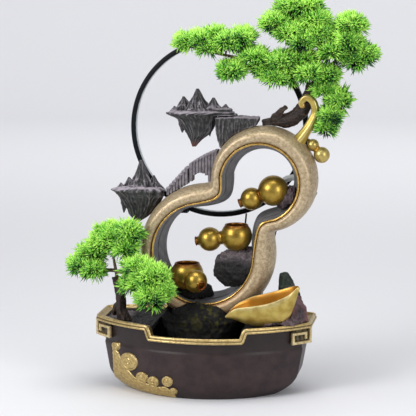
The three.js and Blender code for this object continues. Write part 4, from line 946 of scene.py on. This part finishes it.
# Half-round section between two rims and a keel, run from the spout to the heel; the inside is
# the same section drawn in, and the rim swells into a rounded lip.
def bowlShell():
    count, half = 120, 30
    near, far, keel = (smoothLine(bowlShape[k], count) for k in ("near", "far", "keel"))
    middle = (near + far) / 2
    side, drop = (near - middle)[:, None], (keel - middle)[:, None]
    ends = np.sin(np.pi * np.clip(np.linspace(0, 1, count), 0.012, 0.988)) ** 0.5
    turn = np.linspace(0, math.pi, half)[None, :, None]
    shrink = (1 - 0.13 * ends)[:, None, None]
    belly = np.sign(np.sin(turn)) * np.abs(np.sin(turn)) ** 0.8
    outer = middle[:, None] + side * np.cos(turn) + drop * belly
    inner = middle[:, None] + shrink * (side * np.cos(turn) + drop * belly)
    lip = bowlShape["lip"] * ends[:, None, None] * np.array([0, 0, 1.0])
    grid = np.concatenate([outer, outer[:, -1:] * 0.6 + inner[:, -1:] * 0.4 + lip, inner[:, ::-1],
                           outer[:, :1] * 0.6 + inner[:, :1] * 0.4 + lip], axis=1)
    # painted shade: darker under the keel outside, and dark all over the inside
    shade = np.concatenate([0.45 * np.sin(turn[0, :, 0]) ** 6, [0], np.full(half, 0.9), [0]])
    return skin(grid, shade=shade[None] * np.ones((count, 1)))


piece("scoopBowl", bowlShell(), paint["oliveGold"], ["scoop_bowl"])
print("pots ready")

craggy = dict(voxel=0.9, soften=6, stretch=(1, 1, 1.6), size=11, depth=2.2, fine=0.5, sink=0.35)
smallCrag = dict(voxel=0.7, soften=4, stretch=(1, 1, 1.4), size=8, depth=1.6, fine=0.4, sink=0.3)
barky = dict(voxel=0.8, soften=4, stretch=(3.0, 1, 1.3), size=5, depth=1.5, fine=0.4, sink=0.3)
upright = dict(voxel=0.8, soften=3, stretch=(1, 1, 3.5), size=5, depth=1.5, fine=0.35, sink=0.35)


# Moss dabs on the front of the mound: soft spots broken up by noise
def mossOn(points):
    spots = [(2, -24, 95, 15), (-20, -30, 84, 8), (22, -34, 90, 7), (40, -20, 100, 8)]
    total = sum(np.exp(-(((points - np.array(s[:3])) / s[3]) ** 2).sum(1)) for s in spots)
    return np.clip(total * 1.6 * smoothStep(-0.1, 0.25, fractalNoise(points, 5, 77)), 0, 0.9)


# Painted shade: nearly black away from one side, with a ragged border
def paintedShadeBeyond(axis, start, end, size=9):
    return lambda points: smoothStep(start, end, points[:, axis] + 6 * fractalNoise(points, size, 12, 3))


# Warm patches of broad noise that grow towards the right
def blushOn(points):
    return 0.7 * smoothStep(0.0, 0.6, fractalNoise(points, 22, 31, 2)) * smoothStep(90, 120, points[:, 0])


# shadeOf: real moss on the mound, real warm patches on the bowl rocks, painted shade on the rest
rockPieces = [
    ("rockMound", "rock_mound", craggy, "darkRock", "dark_rock", 3, mossOn),
    ("bowlRocks", "bowl_rocks", craggy, "mauveRock", "rock", 5, blushOn),
    ("rockTop", "rock_top", smallCrag, "mauveRock", "rock", 8, None),
    ("rockMiddle", "rock_middle", smallCrag, "cliffRock", "rock", 11, paintedShadeBeyond(2, 170, 158)),
    ("rockLow", "rock_low", smallCrag, "darkRock", "rock", 14, None),
    ("deckLeft", "deck_left", smallCrag, "cliffRock", "dark_rock", 17, paintedShadeBeyond(0, -100, -90)),
    ("deckRight", "deck_right", smallCrag, "cliffRock", "dark_rock", 20, paintedShadeBeyond(0, 118, 104)),
    ("hoseCover", "hose_cover", smallCrag, "darkRock", "dark_rock", 23, None),
    ("ledgeRock", "ledge_rock", upright, "rock", "rock", 26, None),
    ("driftwood", "driftwood", barky, "wood", "driftwood", 29, None),
    ("trunkLeft", "trunk_left", upright, "wood", "driftwood", 32, None),
]
for label, node, style, colour, slotName, seed, shadeOf in rockPieces:
    piece(label, castOver(label, node, style, seed, shadeOf), paint[colour], [node])
piece("coverRock", castOver("coverRock", "cover_rock", craggy, 35), paint["mossRock"],
      ["cover_rock"],
      body="pump_cover_rock")
print("rocks ready")

# Hanging island: outlines at several heights (z, left, right, half depth) joined smoothly, fluted
# by noise that varies round it far more than down it; the top closes in over a low bumpy plateau.
def islandBody(rows, middleY, seed, flute=0.16):
    table = smoothLine(np.array(rows, float)[::-1], 64)
    turn = np.linspace(0, 2 * math.pi, 160, endpoint=False)[None]
    z, left, right, deep = (table[:, k:k + 1] for k in range(4))
    circle = np.stack(np.broadcast_arrays(np.cos(turn) * 5, np.sin(turn) * 5, z / 16), -1)
    under = smoothStep(1.0, 0.85, np.linspace(0, 1, 64))[:, None]
    swell = 1 + (flute * (fractalNoise(circle, 1.6, seed, ridged=True) - 0.45)) * (0.35 + 0.65 * under)
    x = (left + right) / 2 + np.cos(turn) * (right - left) / 2 * swell
    y = middleY + np.sin(turn) * deep * swell
    body = np.stack(np.broadcast_arrays(x, y, z + 1.2 * under * fractalNoise(circle, 1.1, seed + 3)), -1)
    top = body[-1]
    heart = top.mean(0)
    lid = []
    for k in (0.93, 0.8, 0.65, 0.5, 0.35, 0.2, 0.05):
        ring = heart + (top - heart) * k
        ring[:, 2] += 1.6 * smoothStep(1.0, 0.8, k) * (0.6 + fractalNoise(ring, 9, seed + 7))
        lid.append(ring)
    return np.concatenate([body, np.stack(lid)])


# Mountain peak: a cone whose radius falls quickly near the foot, cut by ridges that run down it
def peak(foot, tip, radius, seed, flatten=0.75):
    up = np.linspace(0, 1, 46)[:, None]
    turn = np.linspace(0, 2 * math.pi, 96, endpoint=False)[None]
    circle = np.stack(np.broadcast_arrays(np.cos(turn) * 2.6, np.sin(turn) * 2.6, up * 2.2), -1)
    ridge = fractalNoise(circle, 1.5, seed, ridged=True)
    reach = radius * (1 - 0.92 * up**0.85) * (1 + 0.5 * (ridge - 0.4))
    foot, tip = np.array(foot, float), np.array(tip, float)
    centre = foot + (tip - foot) * up[..., None]
    spoke = np.stack(np.broadcast_arrays(np.cos(turn), flatten * np.sin(turn), 0 * turn), -1)
    grid = centre + reach[..., None] * spoke
    return skin(grid, shade=0.0)


# 1 at or below low, 0 at or above high, smooth between
def tipShade(grid, low, high):
    return smoothStep(high, low, grid[..., 2])


upperRows = [(349, -44, 30, 19), (346.5, -50, 16, 21), (343, -47, 12.5, 19), (338, -38, 12, 16),
             (324, -28, 6, 12),
             (314, -22, -6, 8), (305, -18.5, -14, 3)]
lowerRows = [(252, -112, -58, 18), (248.5, -122, -52, 21), (245, -118, -54, 19), (240, -112, -56, 17),
             (228, -104, -64, 12), (216, -98, -74, 8), (208, -92, -86, 4)]


# Body, shelf, slabs and peaks of the upper island; its lowest tip is shaded reddish
def upperIsland():
    body = islandBody(upperRows, 3, 41)
    shelf = boulder((12, 2.5, 347), (23, 10.5, 3.1), 42, power=0.35, rough=0.07, strata=0.03, shade=0.0)
    slabs = [boulder((20, 0, 351.5), (12, 8, 2), 43, 0.4, 0.1),
             boulder((31, 4, 344), (7, 8, 3), 44, 0.5, 0.12)]
    peaks = [peak((-28, 6, 346), (-30, 6, 367), 15, 51), peak((-10, 4, 346), (-12, 4, 377), 19, 52),
             peak((9, 6, 346), (8, 6, 366), 15, 53), peak((-40, 4, 347), (-41, 4, 355), 8, 54),
             peak((22, 8, 349), (23, 8, 358), 9, 55), peak((-19, -4, 347), (-20, -3, 360), 10, 56)]
    spurs = [peak((-30, 3, 338), (-31, 2, 322), 8, 57), peak((2, 3, 336), (4, 2, 318), 8, 58)]
    return together([skin(body, shade=0.75 * tipShade(body, 303, 316)), shelf] + slabs + peaks + spurs)


# Body, peaks and hanging spurs of the lower island
def lowerIsland():
    body = islandBody(lowerRows, 3, 45)
    peaks = [peak((-98, 5, 249), (-100, 5, 264), 12, 61), peak((-83, 3, 249), (-84, 3, 286), 17, 62),
             peak((-68, 6, 249), (-68, 6, 267), 12, 63), peak((-108, 3, 249), (-110, 3, 257), 8, 64),
             peak((-91, -5, 249), (-92, -4, 262), 9, 65)]
    spurs = [peak((-104, 2, 240), (-106, 1, 219), 8, 66), peak((-78, 2, 236), (-77, 1, 214), 8, 67),
             peak((-66, 2, 240), (-64, 1, 226), 7, 68)]
    return together([skin(body, shade=0.0)] + peaks + spurs)


stairShape = dict(count=7, run=3.9, rise=4.3, startX=-50, startZ=246, thick=6.5, front=-8, back=12)


# Steps: overlapping thin treads, each a little higher, over ribs that hang below
def stairShell():
    s = stairShape
    shells = []
    for k in range(s["count"]):
        x = s["startX"] + k * s["run"]
        top = s["startZ"] + s["thick"] - 3.4 + (k + 1) * s["rise"]
        bottom = s["startZ"] + 0.55 * k * s["rise"] - 2
        shells.append(slab((x, s["front"], top - 1.6), (x + s["run"] + 1.6, s["back"], top)))
        shells.append(slab((x + 0.5, s["front"] + 1.2, bottom),
                           (x + s["run"] - 0.1, s["back"] - 1.2, top - 1.2)))
    return together(shells)


# Bridge: upright ribs between a rising upper curve and an arch, each with a small cap stone
def bridgeShell():
    shells = []
    count, left, right = 9, -20.5, 14.5
    xs = np.linspace(left, right, count + 1)
    for k in range(count):
        x0, x1 = xs[k], xs[k + 1]
        mid = (x0 + x1) / 2
        part = (mid + 19.2) / 33.2
        top = 284 + 24 * part - 6 * part**2
        arch = 1 - ((mid + 7) / 11.5) ** 2
        foot = 262 + 11 * math.sqrt(arch) if arch > 0 else 262
        shells.append(slab((x0 + 0.25, -7, foot), (x1 - 0.25, 11, top - 1.5)))
        shells.append(slab((x0 - 0.2, -8, top - 2.6), (x1 + 0.1, 12, top)))
    return together(shells)


piece("islandUpper", upperIsland(), paint["rock"], ["island_upper"], sharp=50)
piece("islandLower", lowerIsland(), paint["rock"], ["island_lower"], sharp=50)
piece("staircase", stairShell(), paint["rock"], ["staircase"], sharp=30, bevel=0.4)
piece("bridge", bridgeShell(), paint["rock"], ["bridge"], sharp=30, bevel=0.4)
print("islands ready")

ledShape = dict(centre=(10.3, 36, 325), radius=113, depth=10, width=6.8)


# A section of (inwards from the outer radius, y) turned about the ring's own Y axis
def ledShell(section):
    section = np.array(section, float)
    turn = np.linspace(0, 2 * math.pi, 220, endpoint=False)[:, None]
    radius = ledShape["radius"] - section[None, :, 0]
    cx, cy, cz = ledShape["centre"]
    grid = np.stack(np.broadcast_arrays(cx + radius * np.cos(turn), cy + section[None, :, 1],
                                        cz + radius * np.sin(turn)), -1)
    return skin(grid, ring=True)


half, wide = ledShape["depth"] / 2, ledShape["width"]
channel = [(0.8, -half), (0.2, -half + 0.3), (0, -half + 1), (0, half - 1), (0.2, half - 0.3), (0.8, half),
           (wide - 0.8, half),
           (wide - 0.6, half - 0.6), (wide - 0.8, half - 1.2), (2, half - 1.2), (2, 1.2 - half),
           (wide - 0.8, 1.2 - half),
           (wide - 0.6, 0.6 - half), (wide - 0.8, -half)]
strip = [(2.3, -3.3), (2.3, 3.3), (wide - 0.5, 3.3), (wide - 0.1, 2.4), (wide, 0), (wide - 0.1, -2.4),
         (wide - 0.5, -3.3)]
piece("ledChannel", ledShell(channel), paint["housing"], ["led_channel"], sharp=40)
piece("ledDiffuser", ledShell(strip), paint["diffuser"], ["led_diffuser"], sharp=40)

topLimbs = [
    [(132, 6, 373), (132, 6, 389), (124, 4, 412), (110, 2, 440), (106, 0, 468)],
    [(129, 5, 402), (104, 3, 408), (64, 0, 412), (20, -2, 420), (-14, -2, 428)],
    [(131, 6, 394), (146, 4, 402), (164, 2, 418), (176, 0, 436)],
    [(131, 6, 393), (148, 2, 390), (158, 0, 370), (156, -1, 348)],
]
leftLimbs = [
    [(-110, -27, 129), (-110, -27, 145), (-112, -32, 166), (-113, -34, 184)],
    [(-110, -27.5, 150), (-128, -32, 152), (-146, -36, 160)],
    [(-110, -27.5, 149), (-94, -38, 148), (-76, -45, 140), (-62, -49, 134)],
]
# clumps of needles for each CAD pad: centre, half width, half depth, half height
topClumps = {
    "foliage_top_left": [((-22, -2, 434), 13, 12, 8), ((-6, -8, 437), 13, 12, 9),
                         ((12, 4, 440), 14, 14, 10),
                         ((28, -8, 434), 14, 12, 10), ((46, -2, 438), 14, 15, 11),
                         ((4, -10, 428), 12, 9, 7)],
    "foliage_top_middle": [((33, -10, 399), 15, 12, 12), ((62, -8, 417), 15, 13, 10),
                           ((74, 2, 402), 15, 14, 10),
                           ((88, -10, 392), 14, 12, 10), ((106, -2, 398), 16, 15, 11),
                           ((128, -12, 398), 14, 12, 11),
                           ((150, -4, 396), 13, 13, 10), ((96, -12, 412), 15, 12, 11),
                           ((120, 0, 414), 15, 16, 11)],
    "foliage_top_crown": [((112, 0, 476), 24, 15, 13), ((88, -8, 458), 16, 13, 11),
                          ((108, -10, 448), 17, 13, 11),
                          ((134, -2, 462), 16, 14, 12), ((122, -12, 436), 15, 12, 10),
                          ((142, -6, 446), 14, 12, 11)],
    "foliage_top_right": [((177, -2, 456), 15, 13, 12), ((175, -8, 436), 15, 12, 11),
                          ((196, -2, 422), 13, 12, 11),
                          ((158, -6, 424), 14, 13, 10), ((182, 2, 414), 13, 13, 9)],
    "foliage_top_low": [((147, -4, 377), 12, 11, 11), ((163, -2, 366), 13, 12, 12),
                        ((156, -6, 345), 12, 11, 12),
                        ((149, -2, 331), 10, 10, 11)],
}
leftClumps = {
    "foliage_left_top": [((-112, -38, 192), 19, 15, 15), ((-90, -44, 200), 14, 13, 12),
                         ((-128, -36, 182), 13, 12, 11),
                         ((-96, -46, 182), 14, 11, 11)],
    "foliage_left_outer": [((-140, -34, 171), 15, 13, 12), ((-152, -36, 156), 14, 12, 11),
                           ((-136, -42, 152), 13, 11, 10)],
    "foliage_left_inner": [((-60, -58, 146), 19, 14, 16), ((-78, -54, 158), 14, 12, 12),
                           ((-58, -60, 124), 16, 12, 15),
                           ((-84, -50, 136), 13, 11, 11), ((-42, -60, 132), 10, 9, 11)],
}


# A small spray: blades with a base, a wider middle of three corners and a tip, fanned on a cone
def sprayTemplate(blades, seed):
    draw = np.random.default_rng(seed)
    turn = np.linspace(0, 2 * math.pi, blades, endpoint=False) + draw.uniform(-0.3, 0.3, blades)
    lean = draw.uniform(0.2, 1.15, blades)
    lean[0] = 0.05
    axis = np.stack([np.sin(lean) * np.cos(turn), np.sin(lean) * np.sin(turn), np.cos(lean)], -1)
    across = np.cross(axis, np.array([0.3, 0.2, 1.0]))
    across /= np.linalg.norm(across, axis=1, keepdims=True)
    other = np.cross(axis, across)
    length = draw.uniform(0.65, 1.1, blades)[:, None]
    width = 0.075
    corners = [axis * 0.02, axis * length * 0.6 + across * width,
               axis * length * 0.6 - across * width * 0.6 + other * width * 0.5,
               axis * length * 0.6 - across * width * 0.6 - other * width * 0.5, axis * length]
    points = np.stack(corners, 1).reshape(-1, 3)
    one = np.array([(0, 2, 1), (0, 3, 2), (0, 1, 3), (4, 1, 2), (4, 2, 3), (4, 3, 1)])
    tris = (one[None] + 5 * np.arange(blades)[:, None, None]).reshape(-1, 3)
    a, b, c = points[tris[0, 0]], points[tris[0, 1]], points[tris[0, 2]]
    if np.dot(np.cross(b - a, c - a), (a + b + c) / 3 - points[:5].mean(0)) < 0:
        tris = tris[:, ::-1]
    shade = np.tile(np.array([0.0, 0.55, 0.55, 0.55, 1.0]), blades)
    return points, tris, shade


# Sprays set over the clumps: more on top and in front, pointing out and up; painted shade low and
# inside, painted highlight on top and at the outside
def needlePad(clumps, seed, each=105, size=15.5, swell=1.36):
    draw = np.random.default_rng(seed)
    points, tris, shades, count = [], [], [], 0
    for number, (centre, wide, deep, tall) in enumerate(clumps):
        wide, deep, tall = wide * swell, deep * swell, tall * swell
        volume = wide * deep * tall / 2400
        sprays = int(each * max(volume, 0.5) ** 0.67)
        way = draw.normal(size=(sprays, 3))
        way[:, 2] = np.abs(way[:, 2]) * np.where(draw.random(sprays) < 0.22, -0.5, 0.9)
        way /= np.linalg.norm(way, axis=1, keepdims=True)
        depth = np.clip(draw.normal(0.7, 0.27, sprays), 0.1, 1.12)[:, None]
        reach = np.array([wide, deep, tall], float) - size * 0.5
        at = np.array(centre, float) + way * depth * reach
        axis = way + np.array([0, -0.15, 0.45]) + draw.normal(scale=0.4, size=(sprays, 3))
        axis /= np.linalg.norm(axis, axis=1, keepdims=True)
        across = np.cross(axis, draw.normal(size=(sprays, 3)))
        across /= np.linalg.norm(across, axis=1, keepdims=True)
        other = np.cross(axis, across)
        scale = size * draw.uniform(0.6, 1.1, sprays)[:, None, None]
        base, faces, tone = sprayTemplate(11, seed + number)
        spread = (base[None, :, 0:1] * across[:, None] + base[None, :, 1:2] * other[:, None]
                  + base[None, :, 2:3] * axis[:, None])
        placed = at[:, None] + scale * spread
        light = 0.4 + 0.6 * (way[:, 2] * 0.5 + 0.5) + 0.7 * (depth[:, 0] - 0.72)
        light += draw.normal(scale=0.2, size=sprays)
        tones = np.clip(light[:, None] * (0.25 + 0.85 * tone[None]), 0, 1)
        points.append(placed.reshape(-1, 3))
        tris.append((faces[None] + len(base) * np.arange(sprays)[:, None, None] + count).reshape(-1, 3))
        shades.append(tones.reshape(-1))
        count += sprays * len(base)
    return {"points": np.vstack(points), "quads": np.zeros((0, 4), int), "tris": np.vstack(tris),
            "shade": np.concatenate(shades)}


# Thin twigs from the limbs' nearest points out to each clump
def branchShell(limbs, clumps, thick, stem):
    shells, lines = [], []
    for k, knots in enumerate(limbs):
        line = smoothLine(knots, 60)
        lines.append(line)
        stray = fractalNoise(line[:, None] * np.ones(3), 9, 90 + k)
        wobble = 0.7 * smoothStep(0, 0.2, np.linspace(0, 1, 60))[:, None] * stray
        start = stem if k == 0 else thick
        radii = np.interp(np.linspace(0, 1, 60), [0, 0.25, 1], [start, thick * 0.9, thick * 0.4])
        shells.append(tube(line + wobble * np.array([1, 1, 0.0]), radii, 14, (0, 1, 0.03)))
    every = np.vstack(lines)
    for group in clumps.values():
        for number, (centre, *_rest) in enumerate(group):
            goal = np.array(centre, float)
            near = every[np.argmin(np.linalg.norm(every - goal, axis=1))]
            middle = (near + goal) / 2 + np.array([0, 2, -3.0])
            line = smoothLine([near, middle, goal], 18)
            shells.append(tube(line, np.linspace(1.2, 0.5, 18), 8, (0.1, 1, 0.2)))
    return together(shells)


piece("topBranches", branchShell(topLimbs, topClumps, 3.0, 2.6), paint["bark"], ["top_branches"],
      body="top_tree")
piece("leftBranches", branchShell(leftLimbs, leftClumps, 2.6, 2.6), paint["bark"],
      ["left_branches"], body="left_tree")
for clumpSet, body, seed in ((topClumps, "top_tree", 200), (leftClumps, "left_tree", 400)):
    for number, (node, clumps) in enumerate(clumpSet.items()):
        pad = needlePad(clumps, seed + 20 * number)
        piece(node.replace("foliage", "needles"), pad, paint["needles"], [node], body=body)
print("trees ready")


keptFinish = {
    "cable_gland": "rubber", "ring_bracket_1": "housing", "ring_bracket_2": "housing",
    "bracket_screw_1": "steel",
    "bracket_screw_2": "steel", "led_lead": "housing", "riser_hose": "tubing", "pump_housing": "pumpBlack",
    "volute_cover": "pumpBlack", "outlet_nozzle": "pumpBlack", "strainer_cover": "pumpBlack",
    "impeller": "pumpWhite",
    "impeller_shaft": "ceramic", "regulator_knob": "pumpWhite", "suction_cup_1": "rubber",
    "suction_cup_2": "rubber",
    "suction_cup_3": "rubber", "suction_cup_4": "rubber",
}
for node, label in keptFinish.items():
    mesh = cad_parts[node].data
    mesh.materials.clear()
    mesh.materials.append(paint[label])

studio = dict(target=(2, 0, 228), azimuth=10, elevation=9, distance=2200, lens=152.3, farthest=50,
              wallRadius=3200, wallHeight=1000)


# Flat floor whose edge curves up into a low wall all round, a quarter circle in profile
def buildFloor():
    turn = np.linspace(0, math.pi / 2, 24)
    flat, rise = studio["wallRadius"], studio["wallHeight"]
    radius = np.append([0.001, 1500, flat], flat + rise * np.sin(turn[1:]))
    height = np.append([0, 0, 0], rise - rise * np.cos(turn[1:]))
    around = np.linspace(0, 2 * math.pi, 97)
    grid = np.stack(np.broadcast_arrays(radius[:, None] * np.cos(around), radius[:, None] * np.sin(around),
                                        height[:, None]), -1).reshape(-1, 3)
    index = np.arange(len(grid)).reshape(len(radius), len(around))
    quads = np.stack([index[:-1, :-1], index[1:, :-1], index[1:, 1:], index[:-1, 1:]], -1).reshape(-1, 4)
    shell = {"points": grid, "quads": quads, "tris": np.zeros((0, 3), int), "shade": np.zeros(len(grid))}
    floor = bpy.data.objects.new("floor", meshFrom("floor", shell))
    bpy.context.scene.collection.objects.link(floor)
    material = bpy.data.materials.new("paleFloor")
    material.use_nodes = True
    shader = material.node_tree.nodes["Principled BSDF"]
    shader.inputs["Base Color"].default_value = (0.7, 0.7, 0.72, 1)
    shader.inputs["Roughness"].default_value = 0.75
    floor.data.materials.append(material)


# Rectangular light at a place, turned so that its -Z axis points at an aim
def areaLight(name, place, aim, width, height, power):
    data = bpy.data.lights.new(name, "AREA")
    data.shape = "RECTANGLE"
    data.size, data.size_y, data.energy = width, height, power
    lamp = bpy.data.objects.new(name, data)
    bpy.context.scene.collection.objects.link(lamp)
    lamp.location = place
    towards = np.array(aim, float) - np.array(place, float)
    pitch = math.atan2(math.hypot(towards[0], towards[1]), -towards[2])
    lamp.rotation_euler = (pitch, 0, math.atan2(-towards[0], towards[1]))


# Camera on a sphere round the target, from azimuth (towards +X) and elevation
def buildCamera():
    azimuth, elevation = math.radians(studio["azimuth"]), math.radians(studio["elevation"])
    data = bpy.data.cameras.new("view")
    data.lens = studio["lens"]
    data.clip_end = studio["farthest"]
    camera = bpy.data.objects.new("view", data)
    bpy.context.scene.collection.objects.link(camera)
    away = np.array([math.sin(azimuth) * math.cos(elevation), -math.cos(azimuth) * math.cos(elevation),
                     math.sin(elevation)])
    camera.location = (np.array(studio["target"]) + studio["distance"] * away) * mm
    camera.rotation_euler = (math.pi / 2 - elevation, 0, azimuth)
    bpy.context.scene.camera = camera


buildFloor()
areaLight("keyLeft", (-1.1, -1.3, 1.1), (0, 0, 0.22), 0.7, 0.9, 24)
areaLight("fillRight", (1.3, -1.1, 0.7), (0, 0, 0.22), 0.6, 0.9, 10)
areaLight("topSoft", (0.1, -0.2, 1.7), (0, 0, 0.2), 1.0, 0.8, 14)
areaLight("backWash", (0, 2.2, 1.9), (0, 3.2, 0.1), 4.0, 1.6, 45)
world = bpy.data.worlds.new("studio")
world.use_nodes = True
world.node_tree.nodes["Background"].inputs["Color"].default_value = (0.93, 0.95, 1.0, 1)
world.node_tree.nodes["Background"].inputs["Strength"].default_value = 0.42
bpy.context.scene.world = world
bpy.context.scene.view_settings.view_transform = "Standard"
buildCamera()
print("studio ready")
